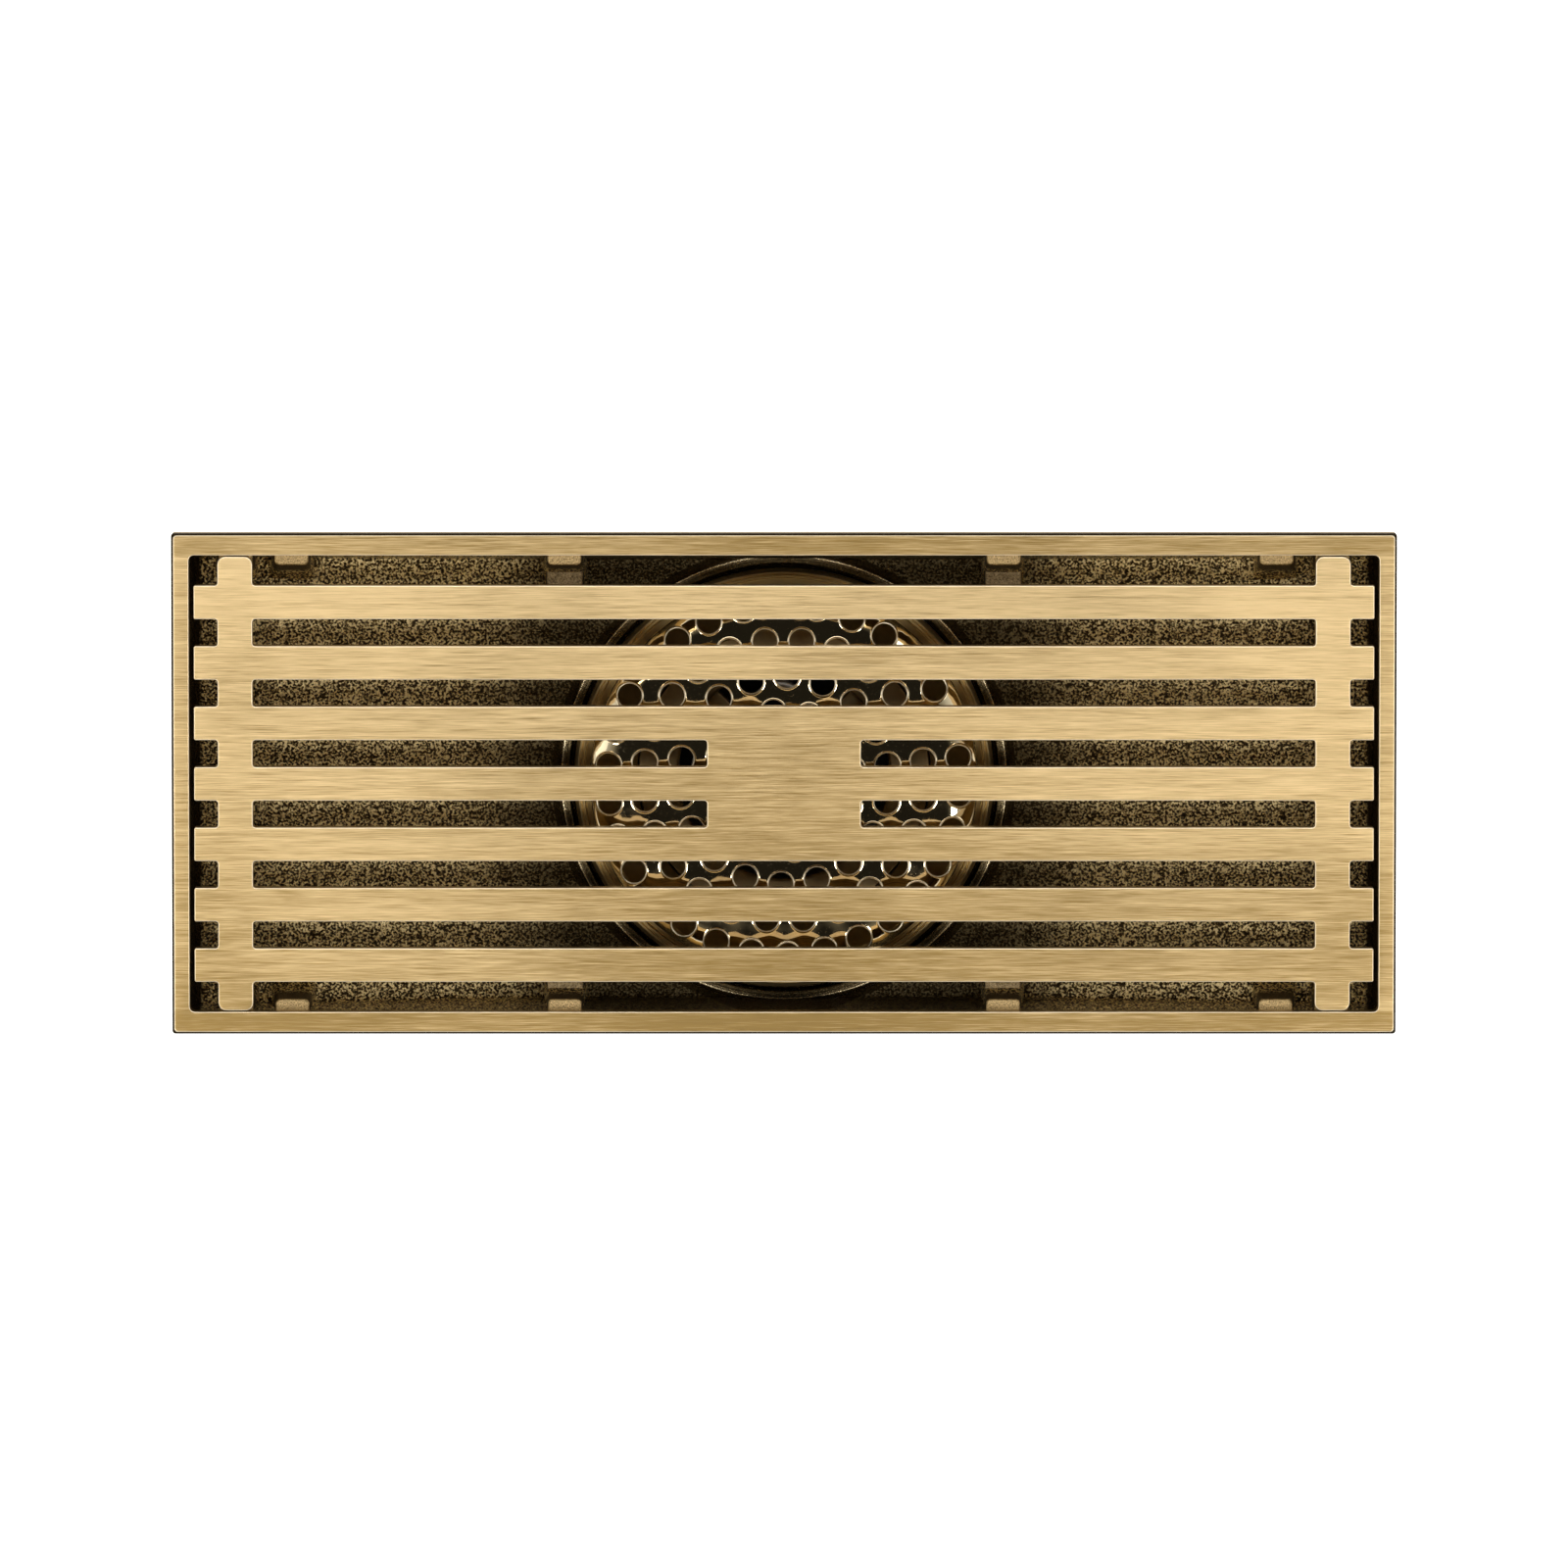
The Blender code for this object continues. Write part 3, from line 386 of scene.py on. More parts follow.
def brushed_brass(colours, rim=False):
    """Satin brass, brushed along the bars, with painted shade in the middle and towards the near
    side, and rubbed top edges lightened as a painted highlight.
    """
    finish = Finish("brushed_rim" if rim else "brushed_brass", Metallic=1.0)
    broad = finish.noise((0.012, 0.9, 0.9), detail=3)
    streaks = finish.noise((0.075, 4.2, 4.2), detail=3, roughness=0.7)
    hairs = finish.noise((0.12, 8, 8))
    cloud = finish.noise((0.018, 0.03, 0.03), detail=1)
    tone = (broad - 0.5) * 0.8 + (streaks - 0.5) * 1.7 + (hairs - 0.5) * 1.7 + (cloud - 0.5) * 0.5
    top = TOP / MM
    # Painted shade: the brass darkened over the grate's middle and near side, and along the rim's
    # long sides.
    brass_painted_shade = rim_painted_shade(finish) if rim else grate_painted_shade(finish)
    shade = finish.mix(finish.clamped(0.09 - tone + brass_painted_shade), colours.brass, colours.brass_shadow)
    # Rubbed top edges, lightened towards a near-white brass as a painted highlight.
    edge_band_low = top - 0.25
    rubbed_and_highlight = finish.below(finish.z, top - 0.04, top - 0.005) * finish.step(
        finish.z, edge_band_low - 0.2, edge_band_low)
    shade = finish.mix(rubbed_and_highlight * 0.9, shade, colours.brass_edge_highlight)
    rough = 0.36 + (streaks - 0.5) * 0.2 + (cloud - 0.5) * 0.08
    # On the rim, the last millimetre at the outer edge and the outer face go dark: bronze high up,
    # near black lower down.
    if rim:
        below_top = finish.below(finish.z, top - 0.07, top - 0.02)
        dark_outer_edge = below_top * finish.clamped(
            near_edge(finish, finish.x, HALF_LENGTH) + near_edge(finish, finish.y, HALF_WIDTH))
        black = finish.step(finish.z, top - 2.6, top - 1.1)
        shade = finish.mix(dark_outer_edge, shade, finish.mix(black, colours.bronze, colours.outer_edge_dark))
        rough = rough + dark_outer_edge * 0.35
    finish.colour(shade)
    finish.roughness(rough)
    finish.bump(streaks * 0.5 + hairs * 0.5, 0.9, 0.04 * MM)
    return finish.material


def lower_share(finish):
    """Rises from the far long side to the near one."""
    return 0.5 - finish.y / 100


def grate_painted_shade(finish):
    """Painted shade on the grate: most in a wide oval round the plate, and along the near side."""
    oval = ((finish.x - 10) / 75) ** 2 + ((finish.y + 20) / 60) ** 2
    return finish.below(oval, 0.0, 1.3) * 0.19 + lower_share(finish) * 0.56


def rim_painted_shade(finish):
    """Painted shade on the rim: some all over, most along the long sides, at their middle."""
    beside = finish.step(abs(finish.y), HALF_WIDTH / MM - 6, HALF_WIDTH / MM - 5)
    centre = finish.below(abs(finish.x - 10), 0, 75)
    return lower_share(finish) * 0.22 + beside * 0.27 + centre * 0.16 + 0.32


def near_edge(finish, along, half_size):
    """1 in the last millimetre before one of the drain's sides."""
    return finish.step(abs(along), half_size / MM - 1.2, half_size / MM - 0.9)


def cast_grain(finish, colours):
    """Colour and relief of a sand-cast surface, with dark pits and grain tops lightened as a painted
    highlight.
    """
    grains = finish.noise(1.75)
    lumps = finish.noise(0.5)
    relief = grains * 0.85 + lumps * 0.15
    # Painted highlight: the tops of the grains lightened.
    lit = finish.step(relief, 0.495, 0.57)
    body = finish.mix(finish.step(relief, 0.43, 0.5), colours.bronze_pit_and_shade, colours.bronze)
    return finish.mix(lit, body, colours.bronze_grain_highlight), relief


def turned_rings(finish, across=2.2):
    """Grooves that a lathe tool leaves, by distance from the axis and height."""
    radius = finish.radius()
    where = finish.node("ShaderNodeCombineXYZ", None, {"X": radius * across, "Y": finish.z * across})
    sockets = {"Vector": where, "Scale": 1.0, "Detail": 3.0, "Roughness": 0.7}
    return finish.node("ShaderNodeTexNoise", None, sockets), radius


def cast_bronze(colours, tray):
    """The tray's casting, with painted shade round the recess and along the end walls, and the recess
    and ledge turned on a lathe.
    """
    finish = Finish("cast_bronze", Metallic=1.0)
    shade, relief = cast_grain(finish, colours)
    grooves, radius = turned_rings(finish)
    across = finish.noise(1.4, detail=1)
    recess = recess_radius(tray) / MM
    turned_top = (TOP - tray.floor_middle) / MM + 2.0
    machined = finish.below(radius, recess + 0.05, recess + 0.15) * finish.below(
        finish.z, turned_top - 0.1, turned_top)
    end = inner_half_length(tray) / MM
    side = inner_half_width(tray) / MM
    # Painted shade inside the pocket: over the middle round the recess, in a strip along the end
    # walls and at the recess's brink.
    middle = finish.below((finish.x / 60) ** 2 + (finish.y / 90) ** 2, 0.85, 1.9)
    far = finish.step(abs(finish.x), end - 3.2, end - 2.0)
    brink = finish.below(radius, recess + 1.0, recess + 1.6)
    hollow = finish.below(abs(finish.x), end + 0.9, end + 1.3) * finish.below(
        abs(finish.y), side + 0.9, side + 1.3)
    floor_painted_shade = finish.clamped(middle * 0.85 + far + brink) * hollow
    shade = finish.mix(floor_painted_shade, shade, colours.bronze_pit_and_shade)
    shade = finish.mix((1 - hollow) * 0.65, shade, colours.bronze)
    metal = finish.mix(finish.step(grooves, 0.3, 0.6), colours.turned_dark, colours.turned)
    # Bands on the turned land: black at the recess wall, a painted shadow; a thin polished line, a
    # painted highlight; and the inner part darkened towards the dark turned colour.
    for low, high, strength, paint in ((recess - 0.75, recess + 1, 1.0, colours.bronze_pit_and_shade),
                                       (recess - 1.05, recess - 0.8, 1.0, colours.polish),
                                       (0, recess - 1.5, 0.85, colours.turned_dark)):
        metal = finish.mix(finish.band(radius, low, high) * strength, metal, paint)
    finish.colour(finish.mix(machined, shade, metal))
    finish.roughness(0.46 - machined * 0.22 + (relief - 0.5) * 0.3)
    height = relief * (1 - machined) + (grooves * 0.12 + across * 0.05) * machined
    finish.bump(height, 1.0, 1.1 * MM)
    return finish.material


def ground_bronze(colours, name, base, top_depth):
    """Fine-grained casting of the lugs and pads, rubbed bright on top, with painted shade in a band
    below that, and sand-cast grain lower down.
    """
    finish = Finish(name, Metallic=1.0)
    sand = finish.noise(3.0, detail=3, roughness=0.6)
    pale = tuple(min(1.0, 1.7 * channel) for channel in base)
    body = finish.mix(finish.step(sand, 0.35, 0.5), darker(base, 0.35), base)
    body = finish.mix(finish.step(sand, 0.52, 0.68), body, pale)
    top = (TOP - top_depth) / MM
    # Painted shade: a dark band just under the top.
    shaded_sides = finish.below(finish.z, top - 0.55, top - 0.3)
    foot = finish.below(finish.z, top - 4.5, top - 2.5)
    cast, _ = cast_grain(finish, colours)
    body = finish.mix(shaded_sides * 0.9, body, darker(base, 0.16))
    finish.colour(finish.mix(foot, body, cast))
    finish.roughness(0.44 + (sand - 0.5) * 0.3)
    finish.bump(sand, 0.8, 0.3 * MM)
    return finish.material


def turned_brass(colours, trap):
    """Lathe-turned brass with tarnish in its grooves, painted shade deep in the cup and on the
    flange's bevel, and two painted highlight lines on the cup's flange.
    """
    finish = Finish("turned_brass", Metallic=1.0)
    grooves, radius = turned_rings(finish, 2.6)
    stain = finish.noise(0.06, detail=3)
    feed = 0.62
    sweep = finish.node("ShaderNodeMath", {"operation": "SINE"}, {0: radius * (TAU / feed)})
    seat = (TOP - CUP_TOP) / MM - 2.2
    outwards = finish.step(radius, 30, 31)
    cone = finish.below(finish.z, seat - 0.4, seat) * outwards
    # Painted shade: the cup darkened below its seat, where it lies deep in the drain.
    inside = finish.below(finish.z, seat - 1.8, seat) * outwards
    tarnish_and_shade = finish.clamped((0.62 - grooves) * 2.2 + (stain - 0.5) * 0.8 + cone * sweep * 0.6
                             + inside * 0.25)
    shade = finish.mix(tarnish_and_shade, colours.turned, colours.turned_dark)
    outer = CUP_RADIUS / MM
    bevel = outer - trap.flange_bevel / MM
    # Painted shade on the flange's bevel, and two painted highlight lines on its top.
    shade = finish.mix(finish.band(radius, bevel, outer + 1), shade, colours.bronze_pit_and_shade)
    for line in (outer - 1.1, outer - 2.25):
        shade = finish.mix(finish.band(radius, line - 0.12, line + 0.12), shade, colours.polish)
    finish.colour(shade)
    finish.roughness(0.12 + grooves * 0.14 + cone * 0.2)
    finish.bump(grooves + cone * sweep * 0.2, 1.0, 0.16 * MM)
    return finish.material


def polished_brass(colours):
    """Mirror-polished sheet with a few wiping marks, and rougher beads round the holes lightened as a
    painted highlight.
    """
    finish = Finish("polished_brass", Metallic=1.0)
    wipe = finish.noise((0.05, 0.12, 0.1), detail=3)
    specks = finish.noise(2.0, detail=1)
    rubbed_and_highlight = finish.node("ShaderNodeAttribute", {"attribute_name": "rubbed_and_highlight"}, None, "Fac")
    sheet = finish.mix(finish.step(wipe, 0.4, 0.65), colours.polish, darker(colours.polish, 0.86))
    # The beads round the holes: lightened as a painted highlight, and rougher.
    finish.colour(finish.mix(rubbed_and_highlight, sheet, colours.polish_lip_highlight))
    finish.roughness(0.045 + finish.step(specks, 0.62, 0.75) * 0.1 + (wipe - 0.5) * 0.05
                     + rubbed_and_highlight * 0.4)
    return finish.material


def core_casting(colours):
    """Sand-cast brass of the core, lighter than the tray."""
    finish = Finish("core_casting", Metallic=1.0)
    sand = finish.noise(2.2, detail=3, roughness=0.65)
    stain = finish.noise(0.12)
    tone = finish.clamped((sand - 0.5) * 2.4 + (stain - 0.5) + 0.6)
    finish.colour(finish.mix(tone, colours.core_dark, colours.core))
    finish.roughness(0.36 + (sand - 0.5) * 0.3)
    finish.bump(sand, 0.6, 0.2 * MM)
    return finish.material


def stainless_steel(colours):
    """Drawn steel with faint lines along the stem and round the wire."""
    finish = Finish("stainless_steel", Metallic=1.0)
    lines = finish.noise((4, 4, 0.4))
    smut = finish.noise(0.3)
    smear = finish.step(lines * 0.6 + smut * 0.4, 0.35, 0.65)
    finish.colour(finish.mix(smear, colours.steel, darker(colours.steel, 0.8)))
    finish.roughness(0.2 + (lines - 0.5) * 0.2 + (smut - 0.5) * 0.1)
    finish.bump(lines, 0.25, 0.02 * MM)
    return finish.material


def moulded(name, base, other, drift, grain, rough, relief):
    """A moulded material whose colour drifts to another. drift is that noise's scale, low and
    high, grain a scale, rough an average and a spread, and relief a strength and a distance."""
    finish = Finish(name, Metallic=0.0)
    scale, low, high = drift
    grains = finish.noise(grain)
    finish.colour(finish.mix(finish.step(finish.noise(scale, detail=3), low, high), base, other))
    average, spread = rough
    finish.roughness(average + (grains - 0.5) * spread)
    finish.bump(grains, *relief)
    return finish.material


def black_rubber(colours):
    """Matte rubber with a little bloom."""
    pale = tuple(channel + 0.02 for channel in colours.rubber)
    return moulded("black_rubber", colours.rubber, pale, (0.1, 0.4, 0.7), 5, (0.62, 0.3),
                   (0.4, 0.04 * MM))


def white_plastic(colours):
    """Plastic with faint flow marks."""
    return moulded("white_plastic", colours.plastic, darker(colours.plastic, 0.88),
                   (0.15, 0.35, 0.7), 4, (0.36, 0.2), (0.3, 0.03 * MM))


# Mesh building

def filleted(points, radii, steps=4, closed=True):
    """The outline with its corners rounded. radii is one radius, or one for each point."""
    count = len(points)
    if not hasattr(radii, "__len__"):
        radii = [radii] * count
    outline = []
    for index, radius in enumerate(radii):
        here = Vector(points[index])
        if radius <= 0 or (not closed and index in (0, count - 1)):
            outline.append(here)
            continue
        before = (here - Vector(points[index - 1])).normalized()
        after = (Vector(points[(index + 1) % count]) - here).normalized()
        turn = math.atan2(before.cross(after), before.dot(after))
        if abs(turn) < 0.01:
            outline.append(here)
            continue
        reach = radius * math.tan(abs(turn) / 2)
        side = math.copysign(1, turn)
        centre = here - reach * before + side * radius * Vector((-before.y, before.x))
        start = here - reach * before - centre
        for step in range(steps + 1):
            outline.append(centre + Matrix.Rotation(turn * step / steps, 2) @ start)
    return outline


def divided(outline, spacing):
    """The closed outline with its long edges cut into equal parts."""
    result = []
    for index, here in enumerate(outline):
        after = outline[(index + 1) % len(outline)]
        parts = max(1, round((after - here).length / spacing))
        result += [here.lerp(after, part / parts) for part in range(parts)]
    return result


def in_mm(sizes):
    return [size * MM for size in sizes]


def rectangle(half_length, half_width):
    return [(-half_length, -half_width), (half_length, -half_width),
            (half_length, half_width), (-half_length, half_width)]


def circle(radius, facets, centre=(0, 0), phase=0.0):
    turns = [phase + TAU * step / facets for step in range(facets)]
    return [Vector((centre[0] + radius * math.cos(turn), centre[1] + radius * math.sin(turn)))
            for turn in turns]


def rounding(radius, steps):
    """Steps round a quarter turn: how far across from its start, and how far short of its end."""
    turns = [TAU / 4 * step / steps for step in range(steps + 1)]
    return [(radius * (1 - math.cos(turn)), radius * (1 - math.sin(turn))) for turn in turns]


def turned(outline, facets):
    """A level ring for each (radius, depth), about the drain's axis."""
    turns = [TAU * step / facets for step in range(facets)]
    return [[(radius * math.cos(turn), radius * math.sin(turn), TOP - depth) for turn in turns]
            for radius, depth in outline]


def at_depth(outline, depth):
    return [(x, y, TOP - depth) for x, y in outline]


def within(loops, places):
    """Whether each place lies inside an odd number of the loops."""
    inside = np.zeros(len(places), bool)
    x, y = places.T
    for loop in loops:
        for start, end in zip(loop, [*loop[1:], loop[0]]):
            if start[1] == end[1]:
                continue
            crosses = (start[1] > y) != (end[1] > y)
            edge_x = start[0] + (end[0] - start[0]) * (y - start[1]) / (end[1] - start[1])
            inside ^= crosses & (x < edge_x)
    return inside


def triangulated(loops, spots=()):
    """Points and triangles that fill the space inside an odd number of the loops."""
    points = [Vector(point) for loop in loops for point in loop]
    edges = []
    start = 0
    for loop in loops:
        edges += [(start + index, start + (index + 1) % len(loop)) for index in range(len(loop))]
        start += len(loop)
    points += [Vector(spot) for spot in spots]
    corners, _, triangles, *_ = delaunay_2d_cdt(points, edges, [], 0, 1e-8)
    places = np.array([corner[:] for corner in corners])
    centres = places[np.array(triangles)].mean(axis=1)
    kept = within(loops, centres)
    return corners, [triangle for triangle, keep in zip(triangles, kept) if keep]


class Shell:
    """Rings of points and the faces between them, which make up one mesh."""

    def __init__(self):
        self.points = []
        self.faces = []

    def ring(self, points):
        start = len(self.points)
        self.points.extend(tuple(point) for point in points)
        return range(start, len(self.points))

    def band(self, first, second):
        for index in range(len(first)):
            after = (index + 1) % len(first)
            self.faces.append((first[index], first[after], second[after], second[index]))

    def loft(self, loops, closed=False, caps=True):
        """Joins loops of equally many points. A closed loft joins its last loop to its first."""
        rings = [self.ring(loop) for loop in loops]
        for pair in zip(rings, rings[1:]):
            self.band(*pair)
        if closed:
            self.band(rings[-1], rings[0])
        elif caps:
            self.faces += [tuple(reversed(rings[0])), tuple(rings[-1])]

    def fill(self, loops, depth, spots=()):
        """Fills loops with triangles whose depth is a function of x and y."""
        corners, triangles = triangulated(loops, spots)
        ring = self.ring((x, y, TOP - depth(x, y)) for x, y in corners)
        self.faces += [tuple(ring[corner] for corner in triangle) for triangle in triangles]

    def block(self, low, high, turn=0.0):
        """A box, turned about the drain's axis."""
        matrix = Matrix.Rotation(turn, 3, "Z")
        corners = ((low[0], low[1]), (high[0], low[1]), (high[0], high[1]), (low[0], high[1]))
        self.loft([[matrix @ Vector((*corner, z)) for corner in corners] for z in (low[2], high[2])])

    def mesh(self):
        """A welded mesh with its faces pointing out."""
        mesh = bpy.data.meshes.new("shell")
        mesh.from_pydata(self.points, [], self.faces)
        shape = bmesh.new()
        shape.from_mesh(mesh)
        bmesh.ops.remove_doubles(shape, verts=shape.verts, dist=WELD)
        bmesh.ops.dissolve_degenerate(shape, edges=shape.edges, dist=WELD / 2)
        bmesh.ops.recalc_face_normals(shape, faces=shape.faces)
        shape.to_mesh(mesh)
        shape.free()
        return mesh


def revolved(outline, facets=ROUND):
    """A closed solid turned about the drain's axis from a closed (radius, depth) outline."""
    shell = Shell()
    shell.loft(turned(outline, facets), closed=True)
    return shell.mesh()


def worked(mesh, kind, **settings):
    """The mesh after one modifier."""
    host = bpy.data.objects.new("host", mesh)
    bpy.context.scene.collection.objects.link(host)
    modifier = host.modifiers.new(kind, kind)
    for name, value in settings.items():
        setattr(modifier, name, value)
    graph = bpy.context.evaluated_depsgraph_get()
    result = bpy.data.meshes.new_from_object(host.evaluated_get(graph))
    bpy.data.objects.remove(host)
    return result


def combined(mesh, tool_mesh, operation):
    """One closed mesh cut by, or joined with, another."""
    tool = bpy.data.objects.new("tool", tool_mesh)
    bpy.context.scene.collection.objects.link(tool)
    result = worked(mesh, "BOOLEAN", operation=operation, object=tool)
    bpy.data.objects.remove(tool)
    return result


WIRE_END = ((1.0, 0.0), (0.95, 0.2), (0.75, 0.38), (0.35, 0.5))


def tube(path, radius, shaded_sides):
    """A round wire along a path, with rounded ends."""
    points = [Vector(point) for point in path]
    count = len(points)
    tangents = [(points[min(i + 1, count - 1)] - points[max(i - 1, 0)]).normalized()
                for i in range(count)]
    across = tangents[0].orthogonal().normalized()
    loops = []
    for index, (point, tangent) in enumerate(zip(points, tangents)):
        across = (across - across.dot(tangent) * tangent).normalized()
        other = tangent.cross(across)
        spokes = [math.cos(TAU * side / shaded_sides) * across + math.sin(TAU * side / shaded_sides) * other
                  for side in range(shaded_sides)]
        sections = [(1.0, 0.0)]
        if index == 0:
            sections = [(size, -along) for size, along in reversed(WIRE_END)]
        elif index == count - 1:
            sections = WIRE_END
        for size, along in sections:
            loops.append([point + radius * (size * spoke + along * tangent) for spoke in spokes])
    shell = Shell()
    shell.loft(loops)
    return shell.mesh()


def piece(name, mesh, material, body, slot, *replaced):
    """Puts a finished mesh into the scene, on its body and in place of its CAD nodes."""
    mesh.name = name
    mesh.materials.clear()
    mesh.materials.append(material)
    mesh.shade_smooth()
    mesh.set_sharp_from_angle(angle=SHARP)
    thing = bpy.data.objects.new(name, mesh)
    bpy.context.scene.collection.objects.link(thing)
    weighted = thing.modifiers.new("weighted_normals", "WEIGHTED_NORMAL")
    weighted.keep_sharp = True
    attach(thing, body)
    if replaced:
        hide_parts(*replaced)
    return thing


# Tray

def inner_half_length(tray):
    return HALF_LENGTH - tray.rim_end


def inner_half_width(tray):
    return HALF_WIDTH - tray.rim_side


def recess_radius(tray):
    return inner_half_width(tray) - tray.recess_gap


def floor_depth(tray, x):
    """Depth of the tray's floor, which falls from both ends to a level middle."""
    level = recess_radius(tray) + 3 * MM
    soft = 5 * MM
    past = abs(x) - level
    run = (past + math.hypot(past, soft)) / 2
    slope = (tray.floor_middle - tray.floor_end) / (inner_half_length(tray) - level)
    return tray.floor_middle - slope * run


def wall_inset(tray, depth):
    """How far the tray's walls lean in at a depth."""
    return tray.draft * max(depth - GRATE_THICKNESS, 0)


def pushed_in(outline, inset, depth):
    """The outline moved inwards by inset and down to depth, both functions of x."""
    half_length = max(x for x, y in outline)
    half_width = max(y for x, y in outline)
    moved = [(x * (1 - inset(x) / half_length), y * (1 - inset(x) / half_width), x)
             for x, y in outline]
    return [(x, y, TOP - depth(from_x)) for x, y, from_x in moved]


def basin(outline, rows, floor, grid=5 * MM):
    """A closed solid whose sides follow rows of (inset, depth) and whose last row ends in a
    floor that follows a depth function."""
    shell = Shell()
    loops = [pushed_in(outline, inset, depth) for inset, depth in rows]
    shell.loft(loops, caps=False)
    shell.faces.append(tuple(range(len(outline))))
    edge = [Vector(point[:2]) for point in loops[-1]]
    half_length = max(point.x for point in edge)
    half_width = max(point.y for point in edge)
    spots = [(x, y) for x in np.arange(grid - half_length, half_length - grid / 2, grid)
             for y in np.arange(grid - half_width, half_width - grid / 2, grid)]
    corners, triangles = triangulated([edge], spots)
    rim = {(round(point.x / WELD), round(point.y / WELD)): loop[2]
           for point, loop in zip(edge, loops[-1])}
    ring = shell.ring((x, y, rim.get((round(x / WELD), round(y / WELD)), TOP - floor(x)))
                      for x, y in corners)
    shell.faces += [tuple(ring[corner] for corner in triangle) for triangle in triangles]
    return shell.mesh()


def fillet_rows(inset, depth, radius, steps=5):
    """Rows that round the sides into the floor."""
    return [(lambda x, across=across: inset(x) + across, lambda x, rise=rise: depth(x) - rise)
            for across, rise in rounding(radius, steps)]


def tray_body(tray):
    """Outside of the casting: box, boss, funnel and outlet."""
    outline = divided(filleted(rectangle(HALF_LENGTH - tray.body_step, HALF_WIDTH - tray.body_step),
                               tray.body_corner), 5 * MM)

    def under(x):
        return floor_depth(tray, x) + tray.floor_thickness

    rows = [(lambda x: 0, lambda x: 1 * MM)]
    rows += fillet_rows(lambda x: 0, under, tray.floor_fillet)
    body = basin(outline, rows, under)
    funnel = BOWL_TOP + BOWL_NECK
    neck = funnel + tray.funnel_height
    boss_root = tray.floor_middle + tray.floor_thickness / 2
    outside = filleted([(0, boss_root), (BOWL_RADIUS + 1.5 * MM, boss_root),
                        (BOWL_RADIUS, boss_root + 4 * MM), (BOWL_RADIUS, funnel),
                        (tray.outlet_radius, neck), (tray.outlet_radius, BOWL_END), (0, BOWL_END)],
                       [0, 0, 2 * MM, 5 * MM, 6 * MM, 1 * MM, 0], steps=6)
    return combined(body, revolved(outside), "UNION")


def tray_pocket(tray):
    """The open space of the tray above its floor."""
    outline = divided(filleted(rectangle(inner_half_length(tray), inner_half_width(tray)),
                               tray.pocket_corner), 4 * MM)
    behind_rim = -0.12 * MM
    before_rim = 0.1 * MM

    def floor(x):
        return floor_depth(tray, x)

    def foot(x):
        return wall_inset(tray, floor(x) - tray.floor_fillet)

    rows = [(lambda x: behind_rim, lambda x: -1 * MM),
            (lambda x: behind_rim, lambda x: tray.rim_band - 0.3 * MM),
            (lambda x: before_rim, lambda x: tray.rim_band)]
    rows += fillet_rows(foot, floor, tray.floor_fillet)
    return basin(outline, rows, floor)


def tray_well(tray):
    """The turned space in the middle: recess, bore, ledge, funnel and outlet."""
    recess = recess_radius(tray)
    land = tray.floor_middle + tray.land_drop
    bore = recess - tray.land_width
    ledge = bore - tray.ledge_width
    ledge_depth = CUP_TOP + LEDGE_DROP
    funnel = BOWL_TOP + BOWL_NECK
    neck = funnel + tray.funnel_height
    outlet = tray.outlet_radius - tray.wall
    above = tray.floor_middle - tray.land_drop
    past_end = BOWL_END + 2 * MM
    corners = [(0, above), (recess, above), (recess, land), (bore, land), (bore, ledge_depth),
               (ledge, ledge_depth), (ledge, funnel), (outlet, neck - tray.wall),
               (outlet, past_end), (0, past_end)]
    radii = [0, 0, 0.4, 0.3, 0.4, 0.3, 4, 5, 0, 0]
    return revolved(filleted(corners, in_mm(radii)))


def rim_frame(tray):
    """The flush rim, with a worn outer edge and a crisp inner one."""
    shell = Shell()
    loops = []

    def loop(half_length, half_width, corner, depth):
        loops.append(at_depth(filleted(rectangle(half_length, half_width), corner, 6), depth))

    outer = tray.rim_edge
    loop(HALF_LENGTH, HALF_WIDTH, outer, tray.rim_band)
    for inset, depth in rounding(outer, 4):
        loop(HALF_LENGTH - inset, HALF_WIDTH - inset, outer, depth)
    half_length = inner_half_length(tray)
    half_width = inner_half_width(tray)
    for depth, inset in rounding(tray.rim_inner_edge, 4):
        loop(half_length + inset, half_width + inset, tray.pocket_corner + inset, depth)
    loop(half_length, half_width, tray.pocket_corner, tray.rim_band)
    shell.loft(loops, closed=True)
    return shell.mesh()


def wall_block(shell, tray, x, side, corner, sections):
    """A block against a long wall, from (depth, half width, distance of its front) sections."""
    back = inner_half_width(tray) + 0.7 * MM
    loops = []
    for depth, half, front in sections:
        outline = filleted([(-half, back), (half, back), (half, front), (-half, front)],
                           [0, 0, corner, corner])
        loops.append([(x + px, side * py, TOP - depth) for px, py in outline])
    shell.loft(loops)


def lug(shell, tray, x, side):
    """One flared lug against a long wall."""
    base = floor_depth(tray, x) + EMBED
    top = GRATE_THICKNESS + LUG_DROP
    skirt = base - 3 * MM
    levels = [(base, 0.0, 0.0), (skirt, (base - skirt) / (base - top), 0.0)]
    levels += [(top + drop, 1.0, trim) for trim, drop in rounding(0.5 * MM, 3)]
    sections = []
    for depth, height, trim in levels:
        half = tray.lug_width / 2 + tray.lug_flare * (1 - height) - trim
        reach = tray.lug_base_reach + (tray.lug_reach - tray.lug_base_reach) * height - trim
        sections.append((depth, half, inner_half_width(tray) - wall_inset(tray, depth) - reach))
    wall_block(shell, tray, x, side, 1.2 * MM, sections)


def pad(shell, tray, x, side):
    """One low pad in front of a middle lug."""
    levels = [(floor_depth(tray, x) + EMBED, -0.5 * MM)]
    levels += [(tray.pad_depth + drop, trim) for trim, drop in rounding(0.6 * MM, 3)]
    front = inner_half_width(tray) - tray.pad_reach
    wall_block(shell, tray, x, side, 1 * MM,
               [(depth, tray.pad_width / 2 - trim, front + trim) for depth, trim in levels])


# Grate

